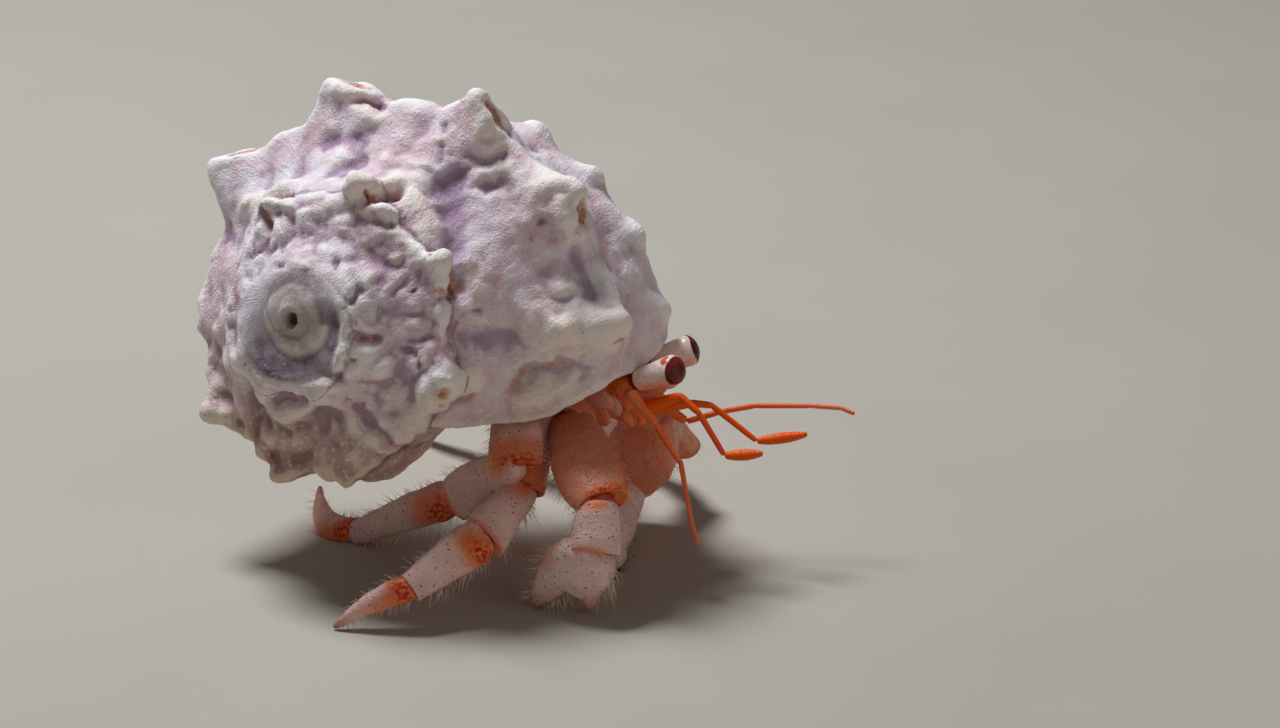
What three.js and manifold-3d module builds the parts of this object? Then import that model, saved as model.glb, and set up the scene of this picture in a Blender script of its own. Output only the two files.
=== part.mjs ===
// A land hermit crab in a worn, knobbed turban shell, as a still, life-size model in millimetres.
// The crab faces +X, its left side is +Y, and its feet stand on z = 0.
import * as THREE from "three";
import { mergeVertices } from "three/addons/utils/BufferGeometryUtils.js";
import Module from "manifold-3d";

const wasm = await Module();
wasm.setup();

// ---------------------------------------------------------------- driving dimensions
const GAP = 0.3; // clearance between neighbouring pieces
const FOOTPRINT_CENTRE = new THREE.Vector3(12.06, -0.45, 0); // middle of the animal's outline on the floor

// The shell: its apex, and the way its axis points from the mouth side out through the apex.
const APEX = new THREE.Vector3(-6.0, -20.0, 29.7);
const AXIS_HEADING = -108.6;
const AXIS_PITCH = 16.7;
const SHELL_ROLL = -11.2; // turns growth angle 0 up from the horizontal
// Growth of the shoulder: turn angle in degrees, radius from the axis, depth below the apex.
const GROWTH = [
  [-450, 1.2, 0.1],
  [-270, 2.2, 0.3],
  [-90, 4.4, 0.9],
  [90, 8.3, 2.4],
  [270, 11.8, 4.9],
  [450, 15.5, 8.5],
  [630, 20.8, 14.0],
  [720, 23.9, 20.5],
  [770, 25.0, 25.0],
];
const LIP_ANGLE = 765; // growth angle where the lip meets the whorl above it
const BODY_START = 200; // growth angle from which the shell is knobbed
const WIDEST_STEP = 11; // degrees between rings in the knobbed part, and in the worn apex
const APEX_STEP = 30;
// Places round the outline of a whorl, counted in its control points.
const WHORL_SIDES = [0, 1, 2, 2.6, 3, 3.4, 4.2, 5, 6, 7, 8, 9, 10, 11];
const SHOULDER_LAG = 24;
const SUTURE_INSET = 0.96; // each whorl is joined just inside the shoulder of the one before
const WALL = 1.4;
const CAVITY_START = 380;
const CAVITY_STEP = 20;
// The central pillar round which the whorls turn, closed at the base by a callus: radius, depth.
const PILLAR = [
  [0, 0.6],
  [0.5, 0.6],
  [3.0, 16],
  [5.2, 22],
  [5.6, 25.5],
  [3.6, 28],
  [0, 29],
];
const PILLAR_SIDES = 10;
// Shoulder spines: growth angle, height.
const SPINES = [
  [242, 1.6],
  [294, 1.8],
  [343, 2.2],
  [384, 2.2],
  [417, 0.8],
  [446, 2.1],
  [477, 2.5],
  [510, 3.3],
  [537, 1.4],
  [582, 4.4],
  [621, 3.4],
  [661, 3.7],
  [693, 3.6],
  [722, 2.2],
];
const SPINE_HALF_WIDTH = 2.3;
const KEEL_KNOB_STEP = 17; // degrees between the knobs of the keel row
const KEEL_KNOB_HEIGHT = 0.9;

// Trunk: stations along the body from inside the shell to the brow: x, y, z, half width, half height.
const TRUNK = [
  [-1.5, 3.2, 35.4, 2.2, 2.2],
  [3.5, 3.0, 36.4, 3.8, 3.4],
  [9.0, 3.0, 34.6, 4.8, 4.2],
  [13.2, 3.0, 31.0, 5.1, 4.6],
  [15.6, 2.2, 26.6, 5.2, 4.8],
  [16.8, 0.8, 22.4, 5.3, 4.6],
  [18.6, 0.0, 19.4, 5.0, 4.0],
  [21.6, -0.3, 17.8, 4.4, 3.3],
  [24.6, -0.3, 17.2, 3.4, 2.5],
];
const TRUNK_FACING = [1, 0, 0.35];
// Shield: the hard plate over the front of the back.
const SHIELD_FACING = [0.5, 0, 1];
const SHIELD = [
  [17.0, 1.3, 25.6, 3.6, 0.5],
  [18.9, 0.7, 23.6, 4.3, 0.8],
  [21.2, 0.1, 21.6, 4.4, 0.9],
  [23.4, -0.3, 20.4, 3.8, 0.8],
  [24.9, -0.4, 19.9, 2.6, 0.5],
];

const LEG_SIDES = 8;
const FEELER_SIDES = 8;
const EYE_SIDES = 12;
const TRUNK_SIDES = 14;
const SHIELD_SIDES = 10;
const RIGHT_SIDE_FACING = [0.1, -1, 0.25];
// Limbs: each piece has its name, length, heading, pitch, width, thickness and sideways bow.
// A pitch of null lays the tip on the floor.
const LIMBS = {
  leg2_r: {
    hip: [15.9, -3.4, 17.2],
    facing: [0.25, -1, 0.3],
    pieces: [
      ["coxa", 3.0, -92, -18, 3.4, 3.0, 0],
      ["merus", 7.2, -82, -44, 4.0, 2.7, 0],
      ["carpus", 8.3, -104, -18, 4.3, 2.8, 0],
      ["propodus", 9.4, -141, -27, 4.6, 2.8, 0],
      ["dactyl", 8.8, -164, null, 2.9, 2.2, 0.4],
    ],
  },
  leg3_r: {
    hip: [13.5, -4.6, 18.6],
    facing: [0.1, -1, 0.35],
    pieces: [
      ["coxa", 4.6, -84, -8, 3.4, 3.0, 0],
      ["merus", 5.2, -72, -42, 5.6, 2.8, 0],
      ["carpus", 10.6, 151, -33, 4.6, 2.8, 0],
      ["propodus", 15.0, 158.6, -29, 3.9, 2.8, 0],
      ["dactyl", 7.6, 144, 23, 3.2, 2.3, -1.8],
    ],
  },
  leg2_l: {
    hip: [18.4, 3.6, 16.4],
    facing: [0.4, 1, 0.3],
    pieces: [
      ["coxa", 5.4, 52, -17, 3.4, 3.0, 0],
      ["merus", 10.6, 68, -44, 4.6, 2.9, 0],
      ["carpus", 7.2, 127, -4, 4.0, 2.8, 0],
      ["propodus", 9.3, 159, -6, 3.9, 2.6, 0],
      ["dactyl", 8.8, 172, null, 2.9, 2.2, 0.5],
    ],
  },
  leg3_l: {
    hip: [14.6, 5.0, 18.0],
    facing: [0.1, 1, 0.35],
    pieces: [
      ["coxa", 4.2, 95, -18, 3.4, 3.0, 0],
      ["merus", 6.8, 108, -34, 4.4, 2.8, 0],
      ["carpus", 8.2, 152, -20, 3.9, 2.8, 0],
      ["propodus", 11.0, 152, -24, 3.4, 2.6, 0],
      ["dactyl", 8.0, 150, null, 2.9, 2.2, 0.4],
    ],
  },
  cheliped_r: {
    hip: [19.6, -3.0, 17.4],
    facing: [0.35, -1, 0.3],
    pieces: [
      ["ischium", 3.6, -100, -20, 4.4, 3.8, 0],
      ["arm", 11.4, -55, -20, 7.6, 4.0, 0.2],
      ["wrist", 4.8, -88, -65, 4.9, 3.8, 0],
      ["palm", 5.2, 175, -54, 6.6, 3.8, 0],
    ],
    fixedFinger: { side: 1, start: -0.9, length: 4.0, lean: 6, width: 2.6, thickness: 2.6 },
    movingFinger: { side: -1, start: -0.2, length: 4.4, lean: -4, width: 2.3, thickness: 2.3 },
  },
  cheliped_l: {
    hip: [21.0, 2.8, 15.6],
    facing: [0.9, 0.1, 0.5],
    pieces: [
      ["ischium", 4.4, 40, -30, 4.0, 3.8, 0],
      ["arm", 9.8, 138, -66, 6.8, 4.4, 0, [0.3, -1, 0.4]],
      ["wrist", 4.2, -95, -20, 4.6, 4.2, 0],
      ["palm", 6.6, -84, -5, 5.6, 4.6, 0],
    ],
    fixedFinger: { side: -1, start: -0.6, length: 4.6, lean: 6, width: 2.5, thickness: 2.8 },
    movingFinger: { side: 1, start: -0.1, length: 4.4, lean: -4, width: 2.3, thickness: 2.5 },
  },
};

// Eyestalks: root, heading, pitch, length to the tip of the cornea, widest thickness.
const EYES = {
  r: { root: [24.9, -2.6, 20.6], heading: -14, pitch: 22, length: 5.9, thickness: 2.7 },
  l: { root: [24.8, 1.6, 20.6], heading: 12, pitch: 21, length: 5.6, thickness: 2.7 },
};
const CORNEA_SHARE = 0.72; // where along the stalk the cornea begins
const CORNEA_SLANT = 28;

// Feelers: pieces with length, heading, pitch, thickness at the start and at the end.
const FEELERS = {
  antennule_r: {
    root: [25.2, -1.7, 16.6],
    runs: [
      ["stem", [[4.4, -8, 26, 1.5, 0.9], [2.6, -14, -33, 0.9, 0.8], [5.0, -4, -57, 0.8, 0.7]]],
      ["club", [[1.4, 3, 6, 0.7, 1.2], [1.4, 3, 8, 1.2, 1.1], [1.2, 3, 10, 1.1, 0.5]]],
    ],
  },
  antennule_l: {
    root: [25.4, 0.5, 15.8],
    runs: [
      ["stem", [[4.2, 5, 12, 1.5, 0.9], [2.0, 9, -4, 0.9, 0.8], [5.8, 5, -37, 0.8, 0.7]]],
      ["club", [[1.8, 5, 10, 0.7, 1.2], [1.9, 5, 12, 1.2, 1.1], [1.6, 5, 14, 1.1, 0.5]]],
    ],
  },
  antenna_r: {
    root: [24.4, -4.3, 19.3],
    runs: [
      ["base", [[2.6, -34, -33, 1.9, 1.5], [2.0, -24, -36, 1.5, 1.1]]],
      [
        "whip",
        [
          [3.0, -22, -48, 0.95, 0.85],
          [1.6, -25, -40, 0.85, 0.8],
          [2.3, -42, -71, 0.8, 0.72],
          [3.8, -30, -75, 0.72, 0.6],
          [2.5, -30, -66, 0.6, 0.5],
        ],
      ],
    ],
  },
  antenna_l: {
    root: [24.9, 2.9, 17.4],
    runs: [
      ["base", [[2.4, 20, -55, 1.9, 1.5], [2.4, 8, -32, 1.5, 1.1]]],
      [
        "whip",
        [
          [3.6, 17, 17, 0.95, 0.85],
          [3.5, 17, 10, 0.85, 0.75],
          [5.8, 10, 2, 0.75, 0.65],
          [3.0, 9, -2, 0.65, 0.55],
          [1.5, 0, -19, 0.55, 0.5],
        ],
      ],
    ],
  },
};

// Third maxillipeds, folded under the mouth: root, then length, heading, pitch, thickness.
const MAXILLIPEDS = {
  r: { root: [22.8, -2.3, 15.4], runs: [[3.6, -18, -58, 2.2, 2.0], [2.8, 60, -70, 1.8, 1.0]] },
  l: { root: [22.8, 0.6, 15.2], runs: [[3.4, 0, -52, 2.2, 2.0], [2.6, -60, -72, 1.8, 1.0]] },
};

// ---------------------------------------------------------------- solids
function solidOf(geometry) {
  const bare = geometry.clone();
  bare.deleteAttribute("normal");
  bare.deleteAttribute("uv");
  const merged = mergeVertices(bare, 1e-4);
  const vertProperties = new Float32Array(merged.attributes.position.array);
  const triVerts = new Uint32Array(merged.index.array);
  return new wasm.Manifold(new wasm.Mesh({ numProp: 3, vertProperties, triVerts }));
}

function geometryOf(solid) {
  const mesh = solid.getMesh();
  const geometry = new THREE.BufferGeometry();
  geometry.setAttribute("position", new THREE.BufferAttribute(mesh.vertProperties, 3));
  geometry.setIndex(new THREE.BufferAttribute(mesh.triVerts, 1));
  return geometry;
}

// A closed skin over rings of equal length, with a fan over each end ring.
function skin(rings) {
  const sides = rings[0].length;
  const points = rings.flat();
  const first = points.length;
  points.push(middleOf(rings[0]));
  points.push(middleOf(rings.at(-1)));
  const faces = [];
  for (let ring = 0; ring < rings.length - 1; ring += 1) {
    for (let side = 0; side < sides; side += 1) {
      const a = ring * sides + side;
      const b = ring * sides + ((side + 1) % sides);
      faces.push(a, b, a + sides);
      faces.push(b, b + sides, a + sides);
    }
  }
  const last = (rings.length - 1) * sides;
  for (let side = 0; side < sides; side += 1) {
    const next = (side + 1) % sides;
    faces.push(first, next, side);
    faces.push(first + 1, last + side, last + next);
  }
  const geometry = new THREE.BufferGeometry().setFromPoints(points);
  geometry.setIndex(faces);
  const solid = solidOf(geometry);
  if (solid.volume() > 0) return solid;
  const turned = [];
  for (let i = 0; i < faces.length; i += 3) turned.push(faces[i], faces[i + 2], faces[i + 1]);
  geometry.setIndex(turned);
  return solidOf(geometry);
}

function middleOf(ring) {
  const sum = ring.reduce((total, point) => total.add(point), new THREE.Vector3());
  return sum.divideScalar(ring.length);
}

const mix = THREE.MathUtils.lerp;
const radians = THREE.MathUtils.degToRad;

function direction(heading, pitch) {
  const flat = Math.cos(radians(pitch));
  return new THREE.Vector3(
    flat * Math.cos(radians(heading)),
    flat * Math.sin(radians(heading)),
    Math.sin(radians(pitch)),
  );
}

// ---------------------------------------------------------------- shell
const AXIS = direction(AXIS_HEADING, AXIS_PITCH);
const LEVEL = new THREE.Vector3(0, 0, 1).cross(AXIS).normalize();
const DOWNWARD = LEVEL.clone().cross(AXIS).normalize();
const TURN_ZERO = LEVEL.clone()
  .multiplyScalar(Math.cos(radians(SHELL_ROLL)))
  .addScaledVector(DOWNWARD, Math.sin(radians(SHELL_ROLL)));
const TURN_QUARTER = DOWNWARD.clone()
  .multiplyScalar(Math.cos(radians(SHELL_ROLL)))
  .addScaledVector(LEVEL, -Math.sin(radians(SHELL_ROLL)));

// A smooth curve through one column of the growth table.
function growth(angle, column) {
  const last = GROWTH.length - 1;
  const at = THREE.MathUtils.clamp(angle, GROWTH[0][0], GROWTH[last][0]);
  let row = 0;
  while (row < last - 1 && GROWTH[row + 1][0] < at) row += 1;
  const slope = (index) => {
    const low = GROWTH[Math.max(index - 1, 0)];
    const high = GROWTH[Math.min(index + 1, last)];
    return (high[column] - low[column]) / (high[0] - low[0]);
  };
  const [from, to] = [GROWTH[row], GROWTH[row + 1]];
  const span = to[0] - from[0];
  const t = (at - from[0]) / span;
  const curve =
    (2 * t ** 3 - 3 * t ** 2 + 1) * from[column] +
    (t ** 3 - 2 * t ** 2 + t) * span * slope(row) +
    (3 * t ** 2 - 2 * t ** 3) * to[column] +
    (t ** 3 - t ** 2) * span * slope(row + 1);
  return curve + (angle - at) * slope(angle < at ? 0 : last);
}

// The outline of the whorl in one half plane through the axis, as [radius, depth, lag] points.
// Lag is how far, in degrees, the oblique lip runs behind at that point.
function whorlOutline(angle) {
  const radius = growth(angle, 1);
  const depth = growth(angle, 2);
  const seamRadius = SUTURE_INSET * growth(angle - 360, 1);
  const seamDepth = growth(angle - 360, 2) + 0.03 * seamRadius;
  return [
    [seamRadius, seamDepth, 0],
    [mix(seamRadius, radius, 0.42), mix(seamDepth, depth, 0.46) + 0.02 * radius, 10],
    [mix(seamRadius, radius, 0.8), mix(seamDepth, depth, 0.82), 19],
    [radius, depth, 24],
    [0.985 * radius, depth + 0.2 * radius, 31],
    [radius, depth + 0.42 * radius, 38],
    [0.9 * radius, depth + 0.6 * radius, 43],
    [0.68 * radius, depth + 0.72 * radius, 45],
    [0.42 * radius, depth + 0.74 * radius, 42],
    [0.24 * radius, depth + 0.62 * radius, 36],
    [0.14 * radius, depth + 0.35 * radius, 28],
    [0.14 * radius, depth + 0.05 * radius, 14],
  ];
}

const OUTLINE_POINTS = 12;
const SHOULDER_SIDE = 3 / OUTLINE_POINTS;
const KEEL_SIDE = 5 / OUTLINE_POINTS;

function bump(distance, halfWidth) {
  return Math.exp(-((distance / halfWidth) ** 2));
}

// How far spines and knobs push the surface out at a growth angle and a place round the outline.
function relief(angle, side) {
  const perDegree = radians(1) * growth(angle, 1);
  let out = 0;
  for (const [at, height] of SPINES) {
    out += height * bump((angle - at) * perDegree, SPINE_HALF_WIDTH) * bump(side - SHOULDER_SIDE, 0.055);
  }
  if (angle > BODY_START) {
    const phase = ((angle % KEEL_KNOB_STEP) + KEEL_KNOB_STEP) % KEEL_KNOB_STEP;
    const fromKnob = (phase - KEEL_KNOB_STEP / 2) * perDegree;
    out += KEEL_KNOB_HEIGHT * bump(fromKnob, 1.6) * bump(side - KEEL_SIDE, 0.05);
  }
  return out;
}

function inWorld(angle, radius, depth) {
  return APEX.clone()
    .addScaledVector(TURN_ZERO, radius * Math.cos(radians(angle)))
    .addScaledVector(TURN_QUARTER, radius * Math.sin(radians(angle)))
    .addScaledVector(AXIS, -depth);
}

function outlineAt(angle, side) {
  const points = whorlOutline(angle).map((point) => new THREE.Vector3(...point));
  const curve = new THREE.CatmullRomCurve3(points, true, "centripetal");
  return curve.getPoint(side);
}

function whorlRing(angle) {
  const ring = [];
  for (const step of WHORL_SIDES) {
    const side = step / OUTLINE_POINTS;
    const lag = outlineAt(angle, side).z;
    const own = angle - lag;
    const here = outlineAt(own, side);
    const push = relief(own, side);
    const nearShoulder = bump(side - SHOULDER_SIDE, 0.1);
    ring.push(inWorld(own, here.x + push, here.y - 0.35 * push * nearShoulder));
  }
  return ring;
}

// Ring angles: coarse in the apex, then one on each spine and on its two feet, with the gaps filled.
function ringAngles() {
  const angles = [];
  for (let angle = GROWTH[0][0]; angle < BODY_START; angle += APEX_STEP) angles.push(angle);
  const marks = [BODY_START, LIP_ANGLE];
  for (const [at] of SPINES) {
    const foot = SPINE_HALF_WIDTH / (radians(1) * growth(at, 1));
    for (const offset of [-foot, 0, foot]) marks.push(at + SHOULDER_LAG + offset);
  }
  const kept = marks.filter((mark) => mark >= BODY_START && mark <= LIP_ANGLE);
  kept.sort((one, other) => one - other);
  kept.forEach((mark, index) => {
    const next = kept[index + 1] ?? mark;
    if (next - mark < 1.5 && index < kept.length - 1) return;
    const parts = Math.max(Math.ceil((next - mark) / WIDEST_STEP), 1);
    for (let part = 0; part < parts; part += 1) angles.push(mix(mark, next, part / parts));
  });
  return angles;
}

const MOST_TURN = 280; // a length of whorl longer than this would meet itself

// Skins a long spiral in overlapping lengths, each under one turn, and joins them.
function joinedLengths(angles, ringOf) {
  let solid = null;
  let first = 0;
  while (first < angles.length - 1) {
    let last = first + 1;
    while (last < angles.length - 1 && angles[last + 1] - angles[first] < MOST_TURN) last += 1;
    const piece = skin(angles.slice(first, last + 1).map(ringOf));
    solid = solid ? solid.add(piece) : piece;
    first = last === angles.length - 1 ? last : last - 1;
  }
  return solid;
}

// The hollow that the crab's hind body goes into, as [radius, depth, lag] points.
function cavityOutline(angle) {
  const radius = growth(angle, 1);
  const depth = growth(angle, 2);
  const before = growth(angle - 360, 1);
  const beforeDepth = growth(angle - 360, 2);
  return [
    [before + 1.1, beforeDepth + 4.0, 3],
    [mix(before, radius, 0.55), mix(beforeDepth, depth, 0.62) + 1.7 * WALL, 14],
    [radius - 1.3 * WALL, depth + WALL, 24],
    [radius - WALL, depth + 0.22 * radius, 31],
    [radius - 1.2 * WALL, depth + 0.42 * radius, 38],
    [0.84 * radius - 0.6 * WALL, depth + 0.56 * radius, 43],
    [0.64 * radius, depth + 0.71 * radius - WALL, 45],
    [0.45 * radius, depth + 0.7 * radius - WALL, 42],
    [0.36 * radius, depth + 0.48 * radius, 36],
    [0.42 * radius, depth + 0.2 * radius, 28],
    [before + 0.5, beforeDepth + 0.55 * before, 14],
  ];
}

function cavityRing(angle) {
  const opening = mix(0.35, 1, THREE.MathUtils.smoothstep(angle, CAVITY_START, CAVITY_START + 160));
  const lags = cavityOutline(angle).map((point) => point[2]);
  return lags.map((lag, index) => {
    const own = angle - lag;
    const [radius, depth] = cavityOutline(own)[index];
    const middleRadius = 0.66 * growth(own, 1);
    const middleDepth = growth(own, 2) + 0.3 * growth(own, 1);
    return inWorld(own, mix(middleRadius, radius, opening), mix(middleDepth, depth, opening));
  });
}

function cavity() {
  const angles = [];
  for (let angle = CAVITY_START; angle <= LIP_ANGLE + 20; angle += CAVITY_STEP) angles.push(angle);
  return joinedLengths(angles, cavityRing);
}

function pillar() {
  const profile = PILLAR.map(([radius, depth]) => new THREE.Vector2(radius, depth));
  const lathe = new THREE.LatheGeometry(profile, PILLAR_SIDES);
  const inward = AXIS.clone().negate();
  const basis = new THREE.Matrix4().makeBasis(TURN_ZERO, inward, TURN_ZERO.clone().cross(inward));
  lathe.applyMatrix4(basis.setPosition(APEX));
  return solidOf(lathe);
}

function shell() {
  return joinedLengths(ringAngles(), whorlRing).add(pillar()).subtract(cavity());
}

// ---------------------------------------------------------------- body and limbs
// Stations give place, half width and half thickness; the broad face looks along "facing".
function loft(stations, facing, sides, grow = 0) {
  const face = new THREE.Vector3(...facing).normalize();
  const rings = stations.map((station, index) => {
    const before = stations[Math.max(index - 1, 0)].at;
    const after = stations[Math.min(index + 1, stations.length - 1)].at;
    const along = after.clone().sub(before).normalize();
    const across = along.clone().cross(face).normalize();
    const through = across.clone().cross(along).normalize();
    const ring = [];
    for (let side = 0; side < sides; side += 1) {
      const angle = (2 * Math.PI * side) / sides;
      ring.push(
        station.at
          .clone()
          .addScaledVector(across, (station.wide + grow) * Math.cos(angle))
          .addScaledVector(through, (station.thick + grow) * Math.sin(angle)),
      );
    }
    return ring;
  });
  return skin(rings);
}

const JOINT_REACH = 4; // a whole unit of place before 0 or after 1 is this far past the joint

// Place along a piece, share of its width, share of its thickness.
const PIECE_SHAPES = {
  coxa: [
    [-0.3, 0.8, 0.8],
    [0.4, 1, 1],
    [1.3, 0.85, 0.85],
  ],
  merus: [
    [-0.3, 0.8, 0.8],
    [0.15, 0.85, 0.95],
    [0.5, 1, 1],
    [0.85, 0.9, 0.95],
    [1.3, 0.7, 0.8],
  ],
  carpus: [
    [-0.3, 0.66, 0.75],
    [0.15, 0.76, 0.9],
    [0.55, 0.95, 1],
    [0.85, 1, 1],
    [1.3, 0.86, 0.9],
  ],
  propodus: [
    [-0.3, 0.9, 0.85],
    [0.15, 1, 1],
    [0.5, 0.92, 0.95],
    [0.85, 0.76, 0.86],
    [1.3, 0.64, 0.75],
  ],
  ischium: [
    [-0.3, 0.8, 0.8],
    [0.4, 0.9, 0.9],
    [1.3, 1, 1],
  ],
  arm: [
    [-0.3, 0.6, 0.75],
    [0.1, 0.74, 0.85],
    [0.45, 1, 1],
    [0.75, 1, 1],
    [1.0, 0.8, 0.95],
    [1.3, 0.55, 0.8],
  ],
  wrist: [
    [-0.3, 0.7, 0.8],
    [0.2, 0.85, 0.95],
    [0.7, 1, 1],
    [1.3, 0.95, 0.95],
  ],
  palm: [
    [-0.3, 0.72, 0.8],
    [0.2, 0.95, 1],
    [0.6, 1, 1],
    [0.95, 0.85, 0.85],
    [1.1, 0.6, 0.6],
  ],
  dactyl: [
    [-0.3, 0.8, 0.8],
    [0.1, 0.98, 1],
    [0.45, 0.78, 0.8],
    [0.8, 0.42, 0.5],
    [1, 0.22, 0.3],
  ],
};

function jointsOf(limb) {
  const joints = [new THREE.Vector3(...limb.hip)];
  for (const [, length, heading, pitch] of limb.pieces) {
    const from = joints.at(-1);
    const tilt = pitch ?? -THREE.MathUtils.radToDeg(Math.asin(from.z / length));
    joints.push(from.clone().addScaledVector(direction(heading, tilt), length));
  }
  return joints;
}

function limbPiece(limb, joints, index, grow = 0) {
  const [name, length, , , width, thickness, bow, ownFacing] = limb.pieces[index];
  const facing = ownFacing ?? limb.facing;
  const from = joints[index];
  const to = joints[index + 1];
  const along = to.clone().sub(from).normalize();
  const face = new THREE.Vector3(...facing).normalize();
  const across = along.clone().cross(face).normalize();
  if (across.z < 0) across.negate();
  const stations = PIECE_SHAPES[name].map(([t, wide, thick]) => {
    const inside = THREE.MathUtils.clamp(t, 0, 1);
    return {
      at: from
        .clone()
        .addScaledVector(along, inside * length + (t - inside) * JOINT_REACH)
        .addScaledVector(across, bow * Math.sin(Math.PI * inside)),
      wide: (wide * width) / 2,
      thick: (thick * thickness) / 2,
    };
  });
  return loft(stations, facing, LEG_SIDES, grow);
}

// Cuts a piece square to the bisector of the bend at each of its joints, and flat at the floor.
function trimmed(solid, joints, index) {
  const along = (n) => joints[n + 1].clone().sub(joints[n]).normalize();
  let result = solid;
  if (index > 0) {
    const normal = along(index).add(along(index - 1)).normalize();
    result = result.trimByPlane(normal.toArray(), normal.dot(joints[index]) + GAP / 2);
  }
  if (index < joints.length - 2) {
    const normal = along(index).add(along(index + 1)).normalize().negate();
    result = result.trimByPlane(normal.toArray(), normal.dot(joints[index + 1]) + GAP / 2);
  }
  return result.trimByPlane([0, 0, 1], 0);
}

function stationsOf(table) {
  return table.map(([x, y, z, wide, thick]) => ({ at: new THREE.Vector3(x, y, z), wide, thick }));
}

function trunk(grow = 0) {
  return loft(stationsOf(TRUNK), TRUNK_FACING, TRUNK_SIDES, grow);
}

function shield(grow = 0) {
  return loft(stationsOf(SHIELD), SHIELD_FACING, SHIELD_SIDES, grow);
}

// A finger grows from the end of the palm, off to one side of it.
function finger(limb, joints, spec, grow = 0) {
  const [, , , , palmWidth] = limb.pieces.at(-1);
  const along = joints.at(-1).clone().sub(joints.at(-2)).normalize();
  const face = new THREE.Vector3(...limb.facing).normalize();
  const across = along.clone().cross(face).normalize();
  if (across.z < 0 || (Math.abs(across.z) < 0.2 && across.x < 0)) across.negate();
  const root = joints
    .at(-1)
    .clone()
    .addScaledVector(across, spec.side * 0.25 * palmWidth)
    .addScaledVector(along, spec.start);
  const lean = radians(spec.lean) * spec.side;
  const way = along.clone().multiplyScalar(Math.cos(lean)).addScaledVector(across, Math.sin(lean));
  const stations = [
    [0, 1, 1],
    [0.4, 0.9, 0.9],
    [0.8, 0.5, 0.55],
    [1, 0.24, 0.3],
  ].map(([t, wide, thick]) => ({
    at: root.clone().addScaledVector(way, t * spec.length),
    wide: (wide * spec.width) / 2,
    thick: (thick * spec.thickness) / 2,
  }));
  return loft(stations, limb.facing, LEG_SIDES, grow);
}

// A round feeler of straight runs, with its bends shared between them.
function feeler(root, runs, grow = 0) {
  const rootHalf = runs[0][3] / 2;
  const stations = [{ at: root.clone(), wide: rootHalf, thick: rootHalf }];
  for (const [length, heading, pitch, , thickness] of runs) {
    const at = stations.at(-1).at.clone().addScaledVector(direction(heading, pitch), length);
    stations.push({ at, wide: thickness / 2, thick: thickness / 2 });
  }
  return loft(stations, RIGHT_SIDE_FACING, FEELER_SIDES, grow);
}

function eyestalk(eye, grow = 0) {
  const along = direction(eye.heading, eye.pitch);
  const stations = [
    [0, 0.78],
    [0.15, 0.92],
    [0.5, 0.96],
    [0.75, 1],
    [0.92, 0.8],
    [1, 0.4],
  ].map(([t, share]) => ({
    at: new THREE.Vector3(...eye.root).addScaledVector(along, t * eye.length),
    wide: (share * eye.thickness) / 2,
    thick: (share * eye.thickness) / 2,
  }));
  return loft(stations, RIGHT_SIDE_FACING, EYE_SIDES, grow);
}

// ---------------------------------------------------------------- assembly
const COLOURS = {
  shell: { color: 0xe6dbdf, roughness: 0.8 },
  flesh: { color: 0xe89a72, roughness: 0.45 },
  plate: { color: 0xe9c9c4, roughness: 0.4 },
  feeler: { color: 0xf06a1e, roughness: 0.4 },
  stalk: { color: 0xf0dcd6, roughness: 0.35 },
  eye: { color: 0x3c140c, roughness: 0.1 },
};

const crab = new THREE.Group();
crab.position.copy(FOOTPRINT_CENTRE).negate();
const neighbours = []; // what is placed already, each piece grown by the clearance

function boxesMeet(one, other) {
  const axes = [0, 1, 2];
  return axes.every((n) => one.min[n] < other.max[n] && other.min[n] < one.max[n]);
}

// Adds a piece to the model, cut back from what it would touch apart from the pieces it is trimmed to.
function place(name, solid, grown, finish, joinedTo = []) {
  let fitted = solid;
  for (const other of neighbours) {
    if (joinedTo.includes(other.name)) continue;
    const meets = boxesMeet(fitted.boundingBox(), other.solid.boundingBox());
    if (meets) fitted = fitted.subtract(other.solid);
  }
  const bodies = fitted.decompose().sort((one, other) => other.volume() - one.volume());
  const material = new THREE.MeshStandardMaterial({ ...COLOURS[finish], metalness: 0 });
  const mesh = new THREE.Mesh(geometryOf(bodies[0]), material);
  mesh.name = name;
  crab.add(mesh);
  neighbours.push({ name, solid: grown });
}

place("trunk", trunk(), trunk(GAP), "flesh");
place("shield", shield(), shield(GAP), "plate");

for (const [side, eye] of Object.entries(EYES)) {
  const along = direction(eye.heading, eye.pitch);
  const cut = direction(eye.heading, eye.pitch + CORNEA_SLANT);
  const middle = new THREE.Vector3(...eye.root).addScaledVector(along, CORNEA_SHARE * eye.length);
  const offset = cut.dot(middle);
  const stalk = eyestalk(eye).trimByPlane(cut.clone().negate().toArray(), -offset + GAP / 2);
  const cornea = eyestalk(eye).trimByPlane(cut.toArray(), offset + GAP / 2);
  place(`eyestalk_${side}`, stalk, eyestalk(eye, GAP), "stalk");
  place(`cornea_${side}`, cornea, cornea, "eye", [`eyestalk_${side}`]);
}

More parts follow.
